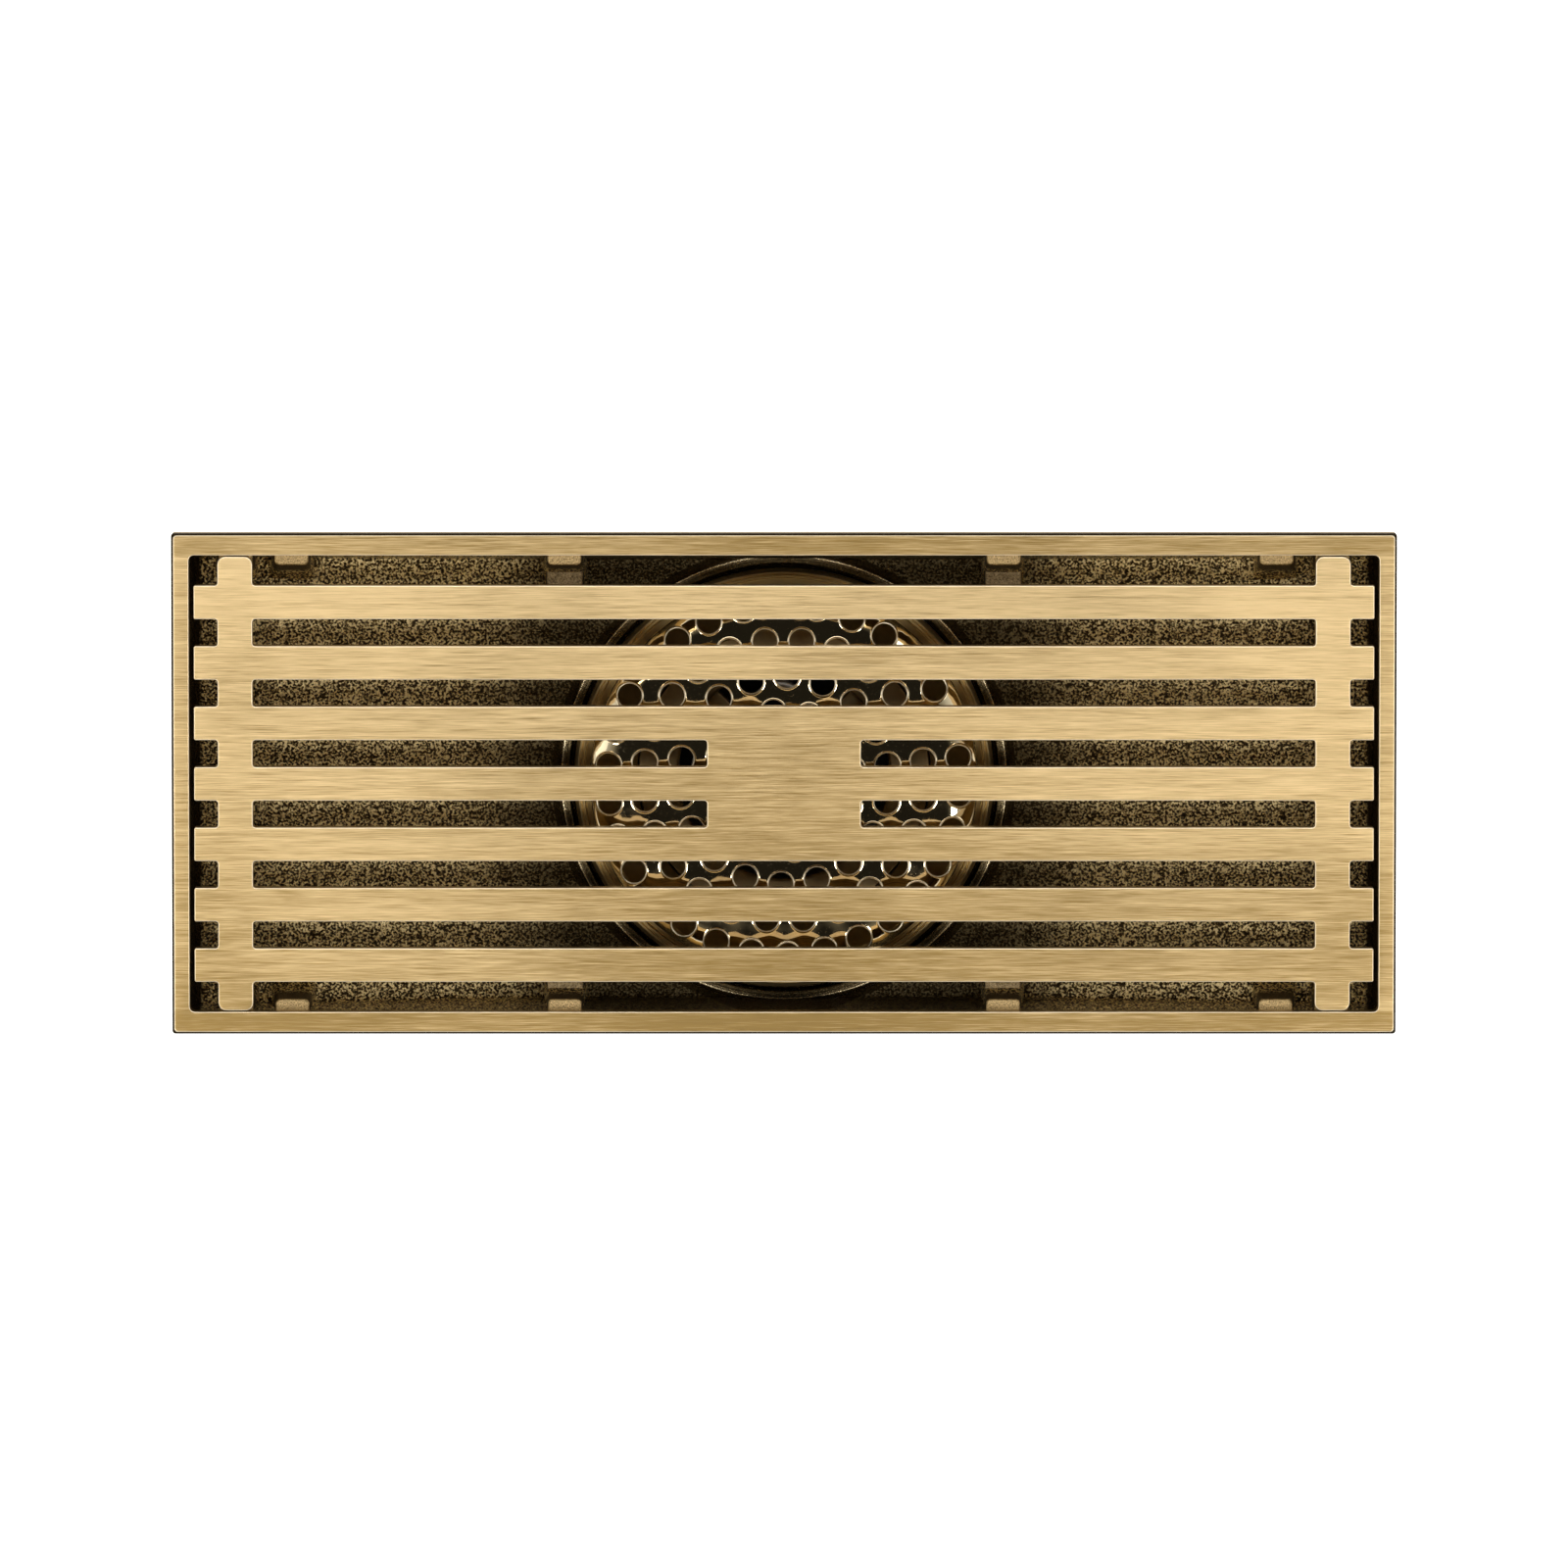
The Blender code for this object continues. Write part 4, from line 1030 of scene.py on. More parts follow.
def bar_pitch(grate, tray):
    reach = inner_half_width(tray) - grate.bar_edge_gap
    return (2 * reach - grate.bar_width) / (grate.bars - 1)


def grate_corners(grate, tray):
    """Corners and radii of the grate's outline, anticlockwise from the lower right crossbar."""
    outer = GRATE_HIGH.x - grate.crossbar_inset
    inner = outer - grate.crossbar_width
    pitch = bar_pitch(grate, tray)
    lows = [(index - (grate.bars - 1) / 2) * pitch - grate.bar_width / 2
            for index in range(grate.bars)]
    highs = [low + grate.bar_width for low in lows]
    end, side, _ = GRATE_HIGH
    foot = grate.slot_corner
    bar = grate.bar_corner
    crossbar = grate.crossbar_corner
    right = [(inner, lows[0], foot), (inner, -side, crossbar), (outer, -side, crossbar)]
    for low, high in zip(lows, highs):
        right += [(outer, low, foot), (end, low, bar), (end, high, bar), (outer, high, foot)]
    right += [(outer, side, crossbar), (inner, side, crossbar), (inner, highs[-1], foot)]
    return right + [(-x, y, radius) for x, y, radius in reversed(right)]


def slot_boxes(grate, tray):
    """Centre and half sizes of each slot. The plate splits the middle ones."""
    inner = GRATE_HIGH.x - grate.crossbar_inset - grate.crossbar_width
    pitch = bar_pitch(grate, tray)
    half_width = (pitch - grate.bar_width) / 2
    boxes = []
    for index in range(grate.bars - 1):
        y = (index - (grate.bars - 2) / 2) * pitch
        if abs(y) < pitch:
            half = (inner - grate.plate_length / 2) / 2
            x = grate.plate_length / 2 + half
            boxes += [(-x, y, half, half_width), (x, y, half, half_width)]
        else:
            boxes.append((0, y, inner, half_width))
    return boxes


def inset_corners(corners, inset):
    """Corners of an orthogonal outline moved to its inner side, with their radii to suit."""
    points = [Vector((x, y)) for x, y, _ in corners]
    smallest = 0.05 * MM
    moved = []
    radii = []
    for index, here in enumerate(points):
        before = (here - points[index - 1]).normalized()
        after = (points[(index + 1) % len(points)] - here).normalized()
        inwards = Vector((-before.y, before.x)) + Vector((-after.y, after.x))
        moved.append(here + inset * inwards)
        radius = corners[index][2]
        convex = before.cross(after) > 0
        radii.append(max(radius - inset, smallest) if convex else radius + inset)
    return filleted(moved, radii)


def grate_plate(grate, tray):
    """The whole grate: every edge of the top face is rounded."""
    outlines = [grate_corners(grate, tray)]
    for x, y, half_length, half_width in slot_boxes(grate, tray):
        box = [(x + px, y + py, grate.slot_corner) for px, py in rectangle(half_length, half_width)]
        outlines.append(box[::-1])
    shell = Shell()
    tops = []
    bottoms = []
    for corners in outlines:
        loops = [at_depth(inset_corners(corners, 0.0), GRATE_THICKNESS)]
        loops += [at_depth(inset_corners(corners, inset), depth)
                  for inset, depth in rounding(grate.edge, 4)]
        shell.loft(loops, caps=False)
        bottoms.append([point[:2] for point in loops[0]])
        tops.append([point[:2] for point in loops[-1]])
    shell.fill(bottoms, lambda x, y: GRATE_THICKNESS)
    shell.fill(tops, lambda x, y: 0.0)
    return shell.mesh()


# Strainer

def hole_places(strainer):
    """Centres of the strainer's holes. Each ring inwards has six fewer."""
    places = []
    outer = CAP_RADIUS - strainer.edge_distance
    for ring in range(strainer.rings):
        radius = outer - ring * strainer.ring_pitch
        count = strainer.ring_step * (strainer.rings - ring)
        places += circle(radius, count, phase=math.radians(7.3 + 0.5 * ring))
    return places


def strainer_dome(strainer):
    """The pressed cap: crowned sheet, beaded holes, rolled edge and skirt."""
    places = hole_places(strainer)
    spread = np.array([place[:] for place in places])
    field = CAP_RADIUS - 0.6 * MM
    bead = strainer.lip_width
    sheet = strainer.sheet

    def past_holes(x, y):
        """Distance from the edge of every hole."""
        return np.hypot(spread[:, 0] - x, spread[:, 1] - y) - strainer.hole_radius

    def depth(x, y):
        """Depth of the sheet's upper face."""
        share_out = math.hypot(x, y) / CAP_RADIUS
        drop = strainer.crown * share_out ** 2 + strainer.roll * share_out ** 16
        wave = strainer.wave * noise.noise(Vector((x, y, 0)) / (9 * MM))
        past = past_holes(x, y)
        drawn = np.exp(-(np.maximum(past, 0) / strainer.swell_width) ** 2).sum()
        lip = 0.0
        if past.min() < 2 * bead:
            lip = strainer.lip_height * math.exp(-((past.min() - 0.4 * bead) / (0.42 * bead)) ** 2)
        return CAP_TOP + drop + wave - lip - strainer.swell * drawn + 2 * strainer.swell

    def on_sheet(outline, drop):
        return [(x, y, TOP - depth(x, y) - drop) for x, y in outline]

    rim = circle(field, ROUND)
    holes = [circle(strainer.hole_radius, 32, place) for place in places]
    spots = [point for place in places for offset in (0.2, 0.4, 0.6, 0.85, 1.2, 1.8)
             for point in circle(strainer.hole_radius + offset * bead, 32, place)]
    rows = 48
    for row in range(rows):
        for point in circle(field * (row + 0.5) / rows, 6 * row + 4, phase=0.3 * row):
            if past_holes(*point).min() > 2.4 * bead:
                spots.append(point)
    corners, triangles = triangulated([rim, *holes], spots)
    upper = on_sheet(corners, 0.0)
    shell = Shell()
    for drop in (0.0, sheet):
        ring = shell.ring((x, y, z - drop) for x, y, z in upper)
        shell.faces += [tuple(ring[corner] for corner in triangle) for triangle in triangles]
    for hole in holes:
        shell.loft([on_sheet(hole, 0.0), on_sheet(hole, sheet)], caps=False)
    shoulder = CAP_TOP + strainer.crown + strainer.roll
    inside = CAP_RADIUS - sheet
    skirt = []
    for step in range(1, 6):
        turn = TAU / 4 * step / 5
        skirt.append((field + (CAP_RADIUS - field) * math.sin(turn),
                      shoulder + 1.2 * MM * (1 - math.cos(turn)) - 0.25 * MM))
    skirt += [(CAP_RADIUS, CAP_BASE), (inside, CAP_BASE), (inside, shoulder + 2 * MM)]
    shell.loft([on_sheet(rim, 0.0), *turned(skirt, ROUND), on_sheet(rim, sheet)], caps=False)
    mesh = shell.mesh()
    mark_beads(mesh, past_holes, bead)
    return mesh


def mark_beads(mesh, past_holes, bead):
    """Marks the beads around the holes, rubbed rougher and lightened as a painted highlight, fading
    out over the last third of a bead.
    """
    rubbed_and_highlight = mesh.attributes.new("rubbed_and_highlight", "FLOAT", "POINT")
    for vertex, mark in zip(mesh.vertices, rubbed_and_highlight.data):
        past = past_holes(*vertex.co.xy).min() / bead
        mark.value = min(1.0, max(0.0, (1.0 - past) / 0.3))


# Odour trap

def trap_cup(trap):
    """The turned cup: flange, strainer seat, cone and the core's socket."""
    register = CUP_RADIUS - trap.flange_width
    cone = register - trap.seat_width
    seat = CUP_TOP + trap.register
    under_flange = CUP_TOP + trap.flange_height
    socket = seat + trap.cone_height
    shelf = socket + trap.socket_height
    shelf_radius = trap.barrel_radius + BARREL_ROOM
    socket_radius = shelf_radius + trap.shelf_width
    wall = trap.cup_wall
    bevel = trap.flange_bevel
    flat = CUP_RADIUS - bevel
    groove = flat - 0.6 * MM
    half_groove = 0.2 * MM
    corners = [(CUP_RADIUS, CUP_TOP + bevel), (CUP_RADIUS, under_flange), (cone + wall, under_flange),
               (socket_radius + wall, socket + wall), (socket_radius + wall, CUP_BASE),
               (shelf_radius, CUP_BASE), (shelf_radius, shelf), (socket_radius, shelf),
               (socket_radius, socket), (cone, seat), (register, seat), (register, CUP_TOP),
               (groove - half_groove, CUP_TOP), (groove, CUP_TOP + 0.3 * MM),
               (groove + half_groove, CUP_TOP), (flat, CUP_TOP)]
    radii = [0.2, 0.4, 0.6, 0.8, 0.8, 0.4, 0.4, 0.5, 0.5, 0.3, 0.4, 0.25, 0.05, 0.05, 0.05, 0.15]
    return revolved(filleted(corners, in_mm(radii)))


def round_ring(node, inner, edge, facets=ROUND):
    """A flat ring in the place of a CAD node, with rounded edges."""
    outer, top, base = span(node)
    corners = [(inner, top), (inner, base), (outer, base), (outer, top)]
    return revolved(filleted(corners, min(edge, (base - top) * 0.45)), facets)


def core_shell(trap):
    """The barrel with its flange."""
    barrel = trap.barrel_radius
    bore = barrel - trap.barrel_wall
    under = FLANGE_TOP + trap.core_flange
    corners = [(bore, FLANGE_TOP), (bore, BARREL_END), (barrel, BARREL_END), (barrel, under),
               (FLANGE_RADIUS, under), (FLANGE_RADIUS, FLANGE_TOP)]
    radii = [0.8, 0.6, 0.5, 0.8, 0.4, 0.5]
    return revolved(filleted(corners, in_mm(radii)))


def core_spider(trap):
    """Four arms, the hub and the bail's ears, run together as a casting is."""
    shell = Shell()
    eighth = TAU / 8
    reach = trap.barrel_radius - trap.barrel_wall / 2
    arm_top = trap.hub_top + trap.arm_drop
    high = TOP - arm_top
    low = high - trap.arm_height
    for turn in (eighth, 3 * eighth):
        shell.block((-reach, -trap.arm_width / 2, low), (reach, trap.arm_width / 2, high), turn)
    hub_base = trap.hub_top + trap.hub_height
    hub = filleted([(0, trap.hub_top), (0, hub_base), (trap.hub_radius, hub_base),
                    (trap.hub_radius, trap.hub_top)], in_mm([0, 0, 0.5, 0.5]))
    shell.loft(turned(hub, 48), closed=True)
    for side in (-1, 1):
        start = side * trap.ear_offset
        end = start + side * trap.ear_thickness
        shell.block((min(start, end), -trap.ear_width / 2, low + trap.arm_height / 2),
                    (max(start, end), trap.ear_width / 2, TOP - trap.bail_depth + 2.4 * MM), eighth)
    casting = worked(shell.mesh(), "REMESH", mode="VOXEL", voxel_size=0.42 * MM)
    casting = worked(casting, "SMOOTH", factor=0.5, iterations=6)
    bore = trap.stem_radius + 2 * trap.running_gap + BUSH_WALL
    above = trap.hub_top - 2 * MM
    drill = revolved([(0, above), (0, BARREL_END), (bore, BARREL_END), (bore, above)], SMALL_ROUND)
    casting = combined(casting, drill, "DIFFERENCE")
    pivot = Matrix.Rotation(eighth, 4, "Z") @ Matrix.Rotation(TAU / 4, 4, "Y")
    pivot.translation = (0, 0, TOP - trap.bail_depth)
    hole = bmesh.new()
    radius = trap.bail_wire + trap.running_gap
    bmesh.ops.create_cone(hole, cap_ends=True, segments=32, radius1=radius, radius2=radius,
                          depth=2 * (trap.ear_offset + 2 * trap.ear_thickness), matrix=pivot)
    hole_mesh = bpy.data.meshes.new("hole")
    hole.to_mesh(hole_mesh)
    hole.free()
    return combined(casting, hole_mesh, "DIFFERENCE")


def guide_bush(trap):
    """A flanged sleeve for the stem."""
    bore = trap.stem_radius + trap.running_gap
    sleeve = bore + BUSH_WALL
    under = BUSH_TOP + 1 * MM
    corners = [(bore, BUSH_TOP), (bore, BUSH_END), (sleeve, BUSH_END), (sleeve, under),
               (BUSH_RADIUS, under), (BUSH_RADIUS, BUSH_TOP)]
    radii = [0.25, 0.15, 0.3, 0.1, 0.3, 0.3]
    return revolved(filleted(corners, in_mm(radii), 3), SMALL_ROUND)


def return_spring(trap):
    """A compression spring whose turns lie closer together towards its ends."""
    wire = trap.spring_wire
    radius = SPRING_RADIUS - wire
    low = TOP - SPRING_BASE + wire
    high = TOP - SPRING_TOP - wire
    steps = 40 * trap.spring_turns
    path = []
    for step in range(steps + 1):
        part = step / steps
        eased = 0.75 * part + 0.25 * part * part * (3 - 2 * part)
        turn = TAU * trap.spring_turns * part
        path.append((radius * math.cos(turn), radius * math.sin(turn), low + (high - low) * eased))
    return tube(path, wire, 14)


def lift_bail(trap):
    """The wire handle, folded flat, with its ends turned in through the ears."""
    wire = trap.bail_wire
    leg = trap.ear_offset + trap.ear_thickness + trap.running_gap + 2 * wire
    inner_end = trap.ear_offset - 2 * wire
    reach = trap.barrel_radius - trap.barrel_wall - trap.bail_room
    corners = [(inner_end, 0), (leg, 0), (leg, reach), (-leg, reach), (-leg, 0), (-inner_end, 0)]
    root = 1.7 * wire
    shoulder = 6 * MM
    radii = [0, root, shoulder, shoulder, root, 0]
    outline = filleted(corners, radii, 10, closed=False)
    turn = Matrix.Rotation(TAU / 8, 2)
    path = []
    for index, point in enumerate(outline[:-1]):
        following = outline[index + 1]
        parts = max(1, round((following - point).length / (1.5 * MM)))
        path += [point.lerp(following, part / parts) for part in range(parts)]
    path.append(outline[-1])
    return tube([(*(turn @ point), TOP - trap.bail_depth) for point in path], wire, 20)


def valve_stem(trap):
    """The rod: chamfered ends, a collar, and a thread at its lower end."""
    collar_top = BARREL_END - 2 * MM
    collar_bevel = 0.3 * MM
    radius = trap.stem_radius
    chamfer = 0.4 * MM
    facets = 48
    thread_start = BARREL_END + 6 * MM
    loops = turned([(0.0, STEM_TOP), (radius - chamfer, STEM_TOP), (radius, STEM_TOP + chamfer),
                    (radius, collar_top), (COLLAR_RADIUS - collar_bevel, collar_top),
                    (COLLAR_RADIUS, collar_top + collar_bevel),
                    (COLLAR_RADIUS, BARREL_END - collar_bevel),
                    (COLLAR_RADIUS - collar_bevel, BARREL_END), (radius, BARREL_END),
                    (radius, thread_start)], facets)
    rows_per_turn = 8
    rise = trap.thread_pitch / rows_per_turn
    count = round((STEM_END - chamfer - thread_start) / rise)
    for row in range(1, count + 1):
        loop = []
        for step in range(facets):
            phase = (row / rows_per_turn + step / facets) % 1.0
            run_in = min(1.0, row / rows_per_turn)
            here = radius - trap.thread_depth * (1 - abs(2 * phase - 1)) * run_in
            turn = TAU * step / facets
            loop.append((here * math.cos(turn), here * math.sin(turn),
                         TOP - thread_start - row * rise))
        loops.append(loop)
    end_radius = radius - trap.thread_depth - chamfer
    loops += turned([(end_radius, STEM_END), (0.0, STEM_END)], facets)
    shell = Shell()
    shell.loft(loops, caps=False)
    return shell.mesh()


def stem_knob(trap):
    """The domed cap nut, with a shallow skirt groove and a bore for the stem."""
    bore = trap.stem_radius + trap.running_gap
    bevel = 0.3 * MM
    dome = KNOB_BASE - 1.8 * MM
    outline = [(bore, KNOB_BASE), (KNOB_RADIUS - bevel, KNOB_BASE), (KNOB_RADIUS, KNOB_BASE - bevel),
               (KNOB_RADIUS, dome + 0.6 * MM), (KNOB_RADIUS - 0.25 * MM, dome + 0.3 * MM)]
    steps = 12
    for step in range(steps + 1):
        turn = TAU / 4 * step / steps
        outline.append(((KNOB_RADIUS - 0.05 * MM) * math.cos(turn),
                        KNOB_TOP + (dome - KNOB_TOP) * (1 - math.sin(turn))))
    bore_end = STEM_TOP - trap.running_gap
    outline += [(0, bore_end), (bore, bore_end)]
    return revolved(outline, SMALL_ROUND * 2)


def valve_disc(trap):
    """The valve plate with its boss, a raised rim and a ring groove."""
    bore = trap.stem_radius + trap.running_gap
    plate = DISC_TOP + 2.5 * MM
    boss = 7 * MM
    slant = 0.6 * MM
    groove = plate - slant
    groove_inner = DISC_RADIUS - 6.6 * MM
    groove_outer = DISC_RADIUS - 3.4 * MM
    corners = [(bore, DISC_TOP), (bore, DISC_END), (boss, DISC_END), (boss, plate),
               (groove_inner - slant, plate), (groove_inner, groove), (groove_outer, groove),
               (groove_outer + slant, plate), (DISC_RADIUS, plate), (DISC_RADIUS, DISC_TOP)]
    radii = [0.2, 0.3, 0.5, 0.8, 0.2, 0.2, 0.2, 0.2, 0.4, 0.2]
    return revolved(filleted(corners, in_mm(radii), 3), SMALL_ROUND * 2)


def valve_nut(trap):
    """A hexagon nut with chamfered corners and a bored, countersunk middle."""
    _, top, base = span("valve_nut")
    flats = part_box("valve_nut")[1].y
    bore = trap.stem_radius + 0.1 * MM
    sink = 0.4 * MM
    facets = 96
    sixth = TAU / 6
    chamfer_slope = 0.58
    loops = []
    for part in (0.0, 0.02, 0.05, 0.09, 0.14, 0.2, 0.5, 0.8, 0.86, 0.91, 0.95, 0.98, 1.0):
        from_face = min(part, 1 - part) * (base - top)
        loop = []
        for step in range(facets):
            turn = TAU * step / facets
            hexagon = flats / math.cos(turn % sixth - sixth / 2)
            radius = min(hexagon, flats + from_face / chamfer_slope)
            loop.append((radius * math.cos(turn), radius * math.sin(turn),
                         TOP - top - part * (base - top)))
        loops.append(loop)
    loops += turned([(bore + sink, base), (bore, base - sink), (bore, top + sink),
                     (bore + sink, top)], facets)
    shell = Shell()
    shell.loft(loops, closed=True)
    return shell.mesh()


# Studio

SOFTBOXES = (("left_key", (-0.85, -0.5, 2.3), (0.5, 0.5), 17.0),
             ("right_key", (0.85, -0.5, 2.3), (0.5, 0.5), 17.0),
             ("far_softbox", (0.0, 1.0, 2.1), (2.4, 0.7), 2.8),
             ("left_softbox", (-1.9, -0.2, 1.4), (1.0, 1.4), 0.7),
             ("right_softbox", (1.9, -0.2, 1.4), (1.0, 1.4), 0.7),
             ("back_strip", (0.0, 1.9, 1.0), (2.4, 0.4), 2.6))


def softbox(name, place, target, size, strength):
    """An area light that points at the target. Strength is its brightness, whatever its size."""
    light = bpy.data.lights.new(name, "AREA")
    light.shape = "RECTANGLE"
    light.size, light.size_y = size
    light.energy = strength * size[0] * size[1] * math.pi
    lamp = bpy.data.objects.new(name, light)
    bpy.context.scene.collection.objects.link(lamp)
    lamp.location = place
    lamp.rotation_euler = (Vector(target) - Vector(place)).to_track_quat("-Z", "Y").to_euler()
    lamp.visible_camera = False


def studio_world():
    """A dim zenith that brightens to the horizon."""
    world = bpy.data.worlds.new("studio_world")
    bpy.context.scene.world = world
    world.use_nodes = True
    tree = world.node_tree
    background = tree.nodes["Background"]
    place = tree.nodes.new("ShaderNodeTexCoord")
    parts = tree.nodes.new("ShaderNodeSeparateXYZ")
    ramp = tree.nodes.new("ShaderNodeValToRGB")
    tree.links.new(place.outputs["Generated"], parts.inputs["Vector"])
    tree.links.new(parts.outputs["Z"], ramp.inputs["Fac"])
    tree.links.new(ramp.outputs["Color"], background.inputs["Color"])
    white = (1.0, 1.0, 1.0)
    warm = (1.0, 0.93, 0.78)
    levels = ((0.0, 0.9, white), (0.5, 0.9, white), (0.8, 0.5, white), (0.93, 0.22, warm),
              (0.98, 0.014, warm))
    Finish.set_stops(ramp.color_ramp, [(height, [level * channel for channel in tint])
                                       for height, level, tint in levels])
    background.inputs["Strength"].default_value = 1.0


def studio_floor(colours):
    """A wide floor under the drain."""
    shell = Shell()
    half = 3.0
    below = -0.1 * MM
    cuts = 12
    places = [half * (2 * cut / cuts - 1) for cut in range(cuts + 1)]
    rows = [shell.ring((x, y, below) for x in places) for y in places]
    for low, high in zip(rows, rows[1:]):
        shell.faces += [(low[i], low[i + 1], high[i + 1], high[i]) for i in range(cuts)]
    mesh = shell.mesh()
    mesh.materials.append(floor_paint(colours))
    floor = bpy.data.objects.new("studio_floor", mesh)
    bpy.context.scene.collection.objects.link(floor)


def floor_paint(colours):
    """Matte white paint that glows a little, as an evenly lit sweep does."""
    finish = Finish("studio_floor", Roughness=0.9)
    finish.feed(finish.shader.inputs["Emission Color"], (1.0, 1.0, 1.0))
    finish.shader.inputs["Emission Strength"].default_value = 0.7
    cloud = finish.noise(0.002, detail=1)
    finish.colour(finish.mix(cloud, colours.floor, darker(colours.floor, 0.99)))
    return finish.material


def studio_camera():
    """A long lens almost straight above the drain."""
    lens = bpy.data.cameras.new("camera")
    camera = bpy.data.objects.new("camera", lens)
    bpy.context.scene.collection.objects.link(camera)
    tilt = math.radians(4.5)
    distance = 3.7
    width = 0.384
    lens.sensor_width = 36.0
    lens.lens = 36.0 * distance / width
    lens.clip_end = 20.0
    camera.location = (0, distance * math.sin(tilt), TOP + distance * math.cos(tilt))
    camera.rotation_euler = (-tilt, 0, 0)
    bpy.context.scene.camera = camera
    bpy.context.scene.view_settings.view_transform = "Standard"


# Operators

def shared(name, maker, *arguments):
    """A material that several pieces use, made once."""
    return bpy.data.materials.get(name) or maker(*arguments)


class DRAIN_OT_stage(bpy.types.Operator):
    """Set up the floor, lights, world and camera"""
    bl_idname = "drain.stage"
    bl_label = "Studio"

    def execute(self, context):
        studio_world()
        studio_floor(context.scene.drain_colours)
        for name, place, size, strength in SOFTBOXES:
            softbox(name, place, (0, 0, TOP), size, strength)
        studio_camera()
        return {"FINISHED"}


class DRAIN_OT_rim(bpy.types.Operator):
    """Build the flush brushed rim"""
    bl_idname = "drain.rim"
    bl_label = "Rim"

    def execute(self, context):
        colours = context.scene.drain_colours
        paint = brushed_brass(colours, rim=True)
        piece("rim_frame", rim_frame(context.scene.drain_tray), paint, "tray", "brushed_brass")
        return {"FINISHED"}


class DRAIN_OT_tray(bpy.types.Operator):
    """Build the cast tray with its recess, funnel and outlet"""
    bl_idname = "drain.tray"
    bl_label = "Tray casting"

    def execute(self, context):
        tray = context.scene.drain_tray
        casting = combined(tray_body(tray), tray_pocket(tray), "DIFFERENCE")
        casting = combined(casting, tray_well(tray), "DIFFERENCE")
        paint = cast_bronze(context.scene.drain_colours, tray)
        piece("tray_casting", casting, paint, "tray", "cast_bronze", "drain_body", "outlet_bowl")
        return {"FINISHED"}


class DRAIN_OT_supports(bpy.types.Operator):
    """Build the lugs and pads on the tray's long walls"""
    bl_idname = "drain.supports"
    bl_label = "Lugs and pads"

    def execute(self, context):
        tray = context.scene.drain_tray
        grate = context.scene.drain_grate
        lugs = Shell()
        pads = Shell()
        crossbar = GRATE_HIGH.x - grate.crossbar_inset - grate.crossbar_width / 2
        end = inner_half_length(tray) - tray.lug_end_inset
        for side_x in (-1, 1):
            for side in (-1, 1):
                for x in (tray.lug_middle_x, end, crossbar):
                    lug(lugs, tray, side_x * x, side)
                pad(pads, tray, side_x * tray.lug_middle_x, side)
        colours = context.scene.drain_colours
        rubbed_and_highlight = ground_bronze(colours, "rubbed_bronze", colours.lug, GRATE_THICKNESS + LUG_DROP)
        piece("support_lugs", lugs.mesh(), rubbed_and_highlight, "tray", "cast_bronze")
        grey = ground_bronze(colours, "sanded_bronze", colours.pad, tray.pad_depth)
        piece("seat_pads", pads.mesh(), grey, "tray", "cast_bronze")
        return {"FINISHED"}


class DRAIN_OT_grate(bpy.types.Operator):
    """Build the slotted grate"""
    bl_idname = "drain.grate"
    bl_label = "Grate"

    def execute(self, context):
        scene = context.scene
        mesh = grate_plate(scene.drain_grate, scene.drain_tray)
        paint = brushed_brass(scene.drain_colours)
        piece("brushed_grate", mesh, paint, "cover", "brushed_brass", "grate")
        return {"FINISHED"}


class DRAIN_OT_strainer(bpy.types.Operator):
    """Build the perforated strainer cap"""
    bl_idname = "drain.strainer"
    bl_label = "Strainer"

    def execute(self, context):
        scene = context.scene
        paint = polished_brass(scene.drain_colours)
        piece("strainer_dome", strainer_dome(scene.drain_strainer), paint, "strainer",
              "polished_brass", "strainer_cap")
        return {"FINISHED"}


class DRAIN_OT_cup(bpy.types.Operator):
    """Build the trap cup"""
    bl_idname = "drain.cup"
    bl_label = "Trap cup"

    def execute(self, context):
        trap = context.scene.drain_trap
        paint = shared("turned_brass", turned_brass, context.scene.drain_colours, trap)
        piece("turned_cup", trap_cup(trap), paint, "cup", "turned_brass", "trap_cup")
        return {"FINISHED"}


class DRAIN_OT_seals(bpy.types.Operator):
    """Build the rubber rings: cup gasket, core seal and valve gasket"""
    bl_idname = "drain.seals"
    bl_label = "Rubber rings"

    def execute(self, context):
        trap = context.scene.drain_trap
        tray = context.scene.drain_tray
        paint = shared("black_rubber", black_rubber, context.scene.drain_colours)
        ledge = recess_radius(tray) - tray.land_width - tray.ledge_width + trap.running_gap
        rings = (("cup_gasket", ledge, "cup"),
                 ("core_seal", trap.barrel_radius + BARREL_ROOM, "core"),
                 ("valve_gasket", trap.stem_radius + trap.running_gap, "valve"))
        for node, inner, body in rings:
            mesh = round_ring(node, inner, trap.rubber_edge)
            piece(node + "_ring", mesh, paint, body, "black_rubber", node)
        return {"FINISHED"}


class DRAIN_OT_core(bpy.types.Operator):
    """Build the core: barrel, arms, hub, ears and guide bush"""
    bl_idname = "drain.core"
    bl_label = "Core"

    def execute(self, context):
        trap = context.scene.drain_trap
        colours = context.scene.drain_colours
        paint = shared("core_casting", core_casting, colours)
        piece("core_shell", core_shell(trap), paint, "core", "core_casting", "core_barrel")
        piece("core_spider", core_spider(trap), paint, "core", "core_casting")
        plastic = shared("white_plastic", white_plastic, colours)
        piece("stem_bush", guide_bush(trap), plastic, "core", "white_plastic", "guide_bush")
        return {"FINISHED"}


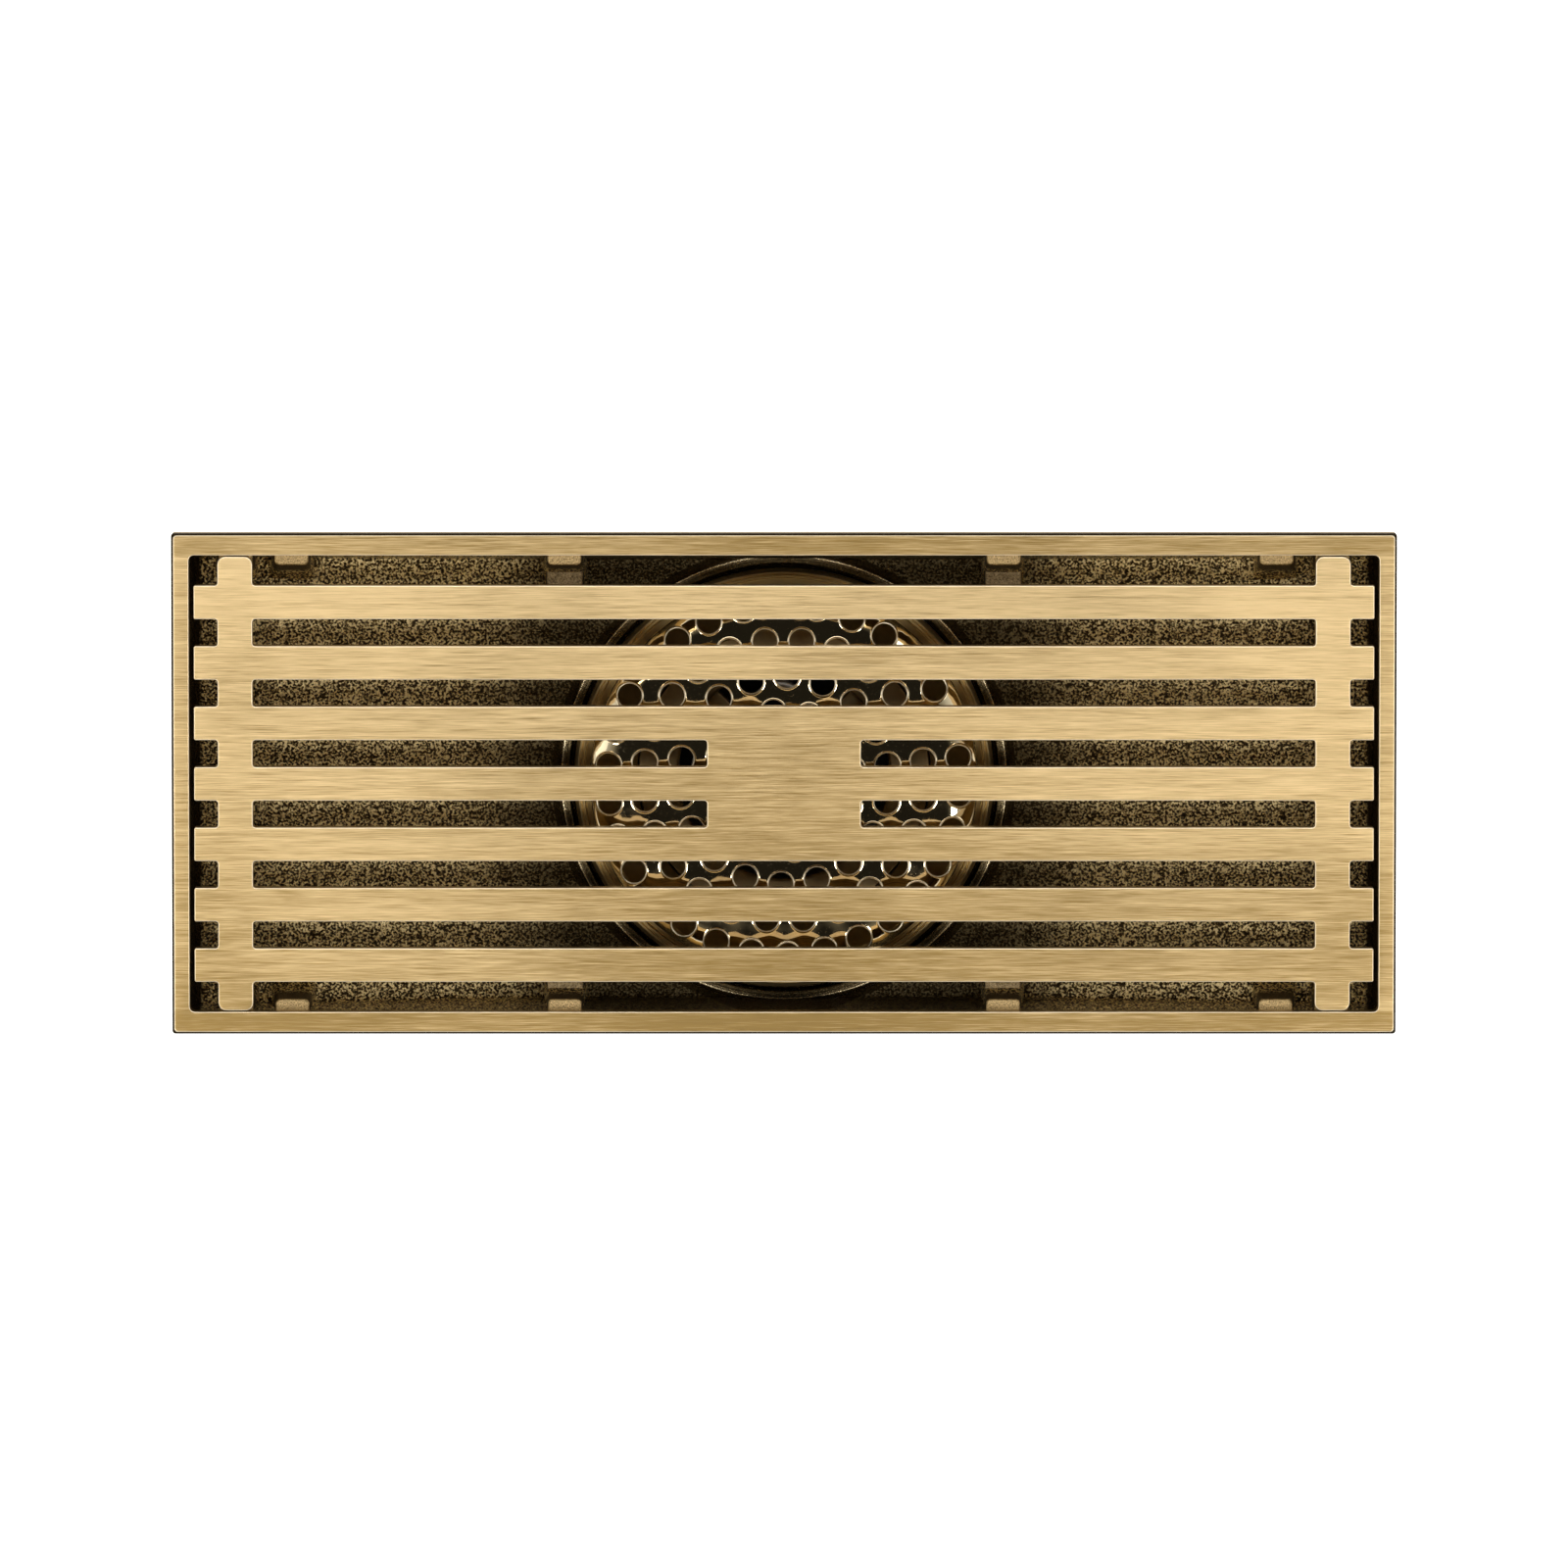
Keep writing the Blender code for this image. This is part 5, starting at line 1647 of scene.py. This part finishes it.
class DRAIN_OT_wires(bpy.types.Operator):
    """Build the return spring and the lifting bail"""
    bl_idname = "drain.wires"
    bl_label = "Spring and bail"

    def execute(self, context):
        trap = context.scene.drain_trap
        paint = shared("stainless_steel", stainless_steel, context.scene.drain_colours)
        coil = piece("valve_spring", return_spring(trap), paint, "core", "stainless_steel",
                     "return_spring")
        drop = next(joint for joint in frame["joints"] if joint["name"] == "valve_drop")
        height = SPRING_BASE - SPRING_TOP
        travel = max(abs(limit) for limit in drop["range_m"])
        1 - travel / height
        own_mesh(coil)
        piece("wire_bail", lift_bail(trap), paint, "bail", "stainless_steel", "lift_bail")
        return {"FINISHED"}


class DRAIN_OT_valve(bpy.types.Operator):
    """Build the valve: stem, knob, plate, washer and nut"""
    bl_idname = "drain.valve"
    bl_label = "Valve"

    def execute(self, context):
        trap = context.scene.drain_trap
        colours = context.scene.drain_colours
        steel = shared("stainless_steel", stainless_steel, colours)
        plastic = shared("white_plastic", white_plastic, colours)
        brass = shared("turned_brass", turned_brass, colours, trap)
        piece("threaded_stem", valve_stem(trap), steel, "valve", "stainless_steel", "valve_stem")
        piece("domed_knob", stem_knob(trap), brass, "valve", "turned_brass", "stem_knob")
        piece("valve_plate", valve_disc(trap), plastic, "valve", "white_plastic", "valve_disc")
        bore = trap.stem_radius + trap.running_gap
        washer = round_ring("valve_washer", bore, 0.2 * MM, SMALL_ROUND)
        piece("plain_washer", washer, steel, "valve", "stainless_steel", "valve_washer")
        piece("hexagon_nut", valve_nut(trap), steel, "valve", "stainless_steel", "valve_nut")
        return {"FINISHED"}


OPERATORS = (DRAIN_OT_stage, DRAIN_OT_rim, DRAIN_OT_tray, DRAIN_OT_supports, DRAIN_OT_grate,
             DRAIN_OT_strainer, DRAIN_OT_cup, DRAIN_OT_seals, DRAIN_OT_core, DRAIN_OT_wires,
             DRAIN_OT_valve)


class DRAIN_PT_pieces(bpy.types.Panel):
    """The drain's builders, in the order that they run"""
    bl_idname = "DRAIN_PT_pieces"
    bl_label = "Floor drain"
    bl_space_type = "VIEW_3D"
    bl_region_type = "UI"
    bl_category = "Drain"

    def draw(self, context):
        for operator in OPERATORS:
            self.layout.operator(operator.bl_idname)


GROUPS = {"drain_tray": TraySizes, "drain_grate": GrateSizes, "drain_strainer": StrainerSizes,
          "drain_trap": TrapSizes, "drain_colours": DrainColours}


def register():
    for group in (*GROUPS.values(), *OPERATORS, DRAIN_PT_pieces):
        bpy.utils.register_class(group)
    for name, group in GROUPS.items():
        setattr(bpy.types.Scene, name, PointerProperty(type=group))


def unregister():
    for name in GROUPS:
        delattr(bpy.types.Scene, name)
    for group in reversed((*GROUPS.values(), *OPERATORS, DRAIN_PT_pieces)):
        bpy.utils.unregister_class(group)


def main():
    register()
    for operator in OPERATORS:
        group, name = operator.bl_idname.split(".")
        getattr(getattr(bpy.ops, group), name)()


if __name__ == "__main__":
    main()
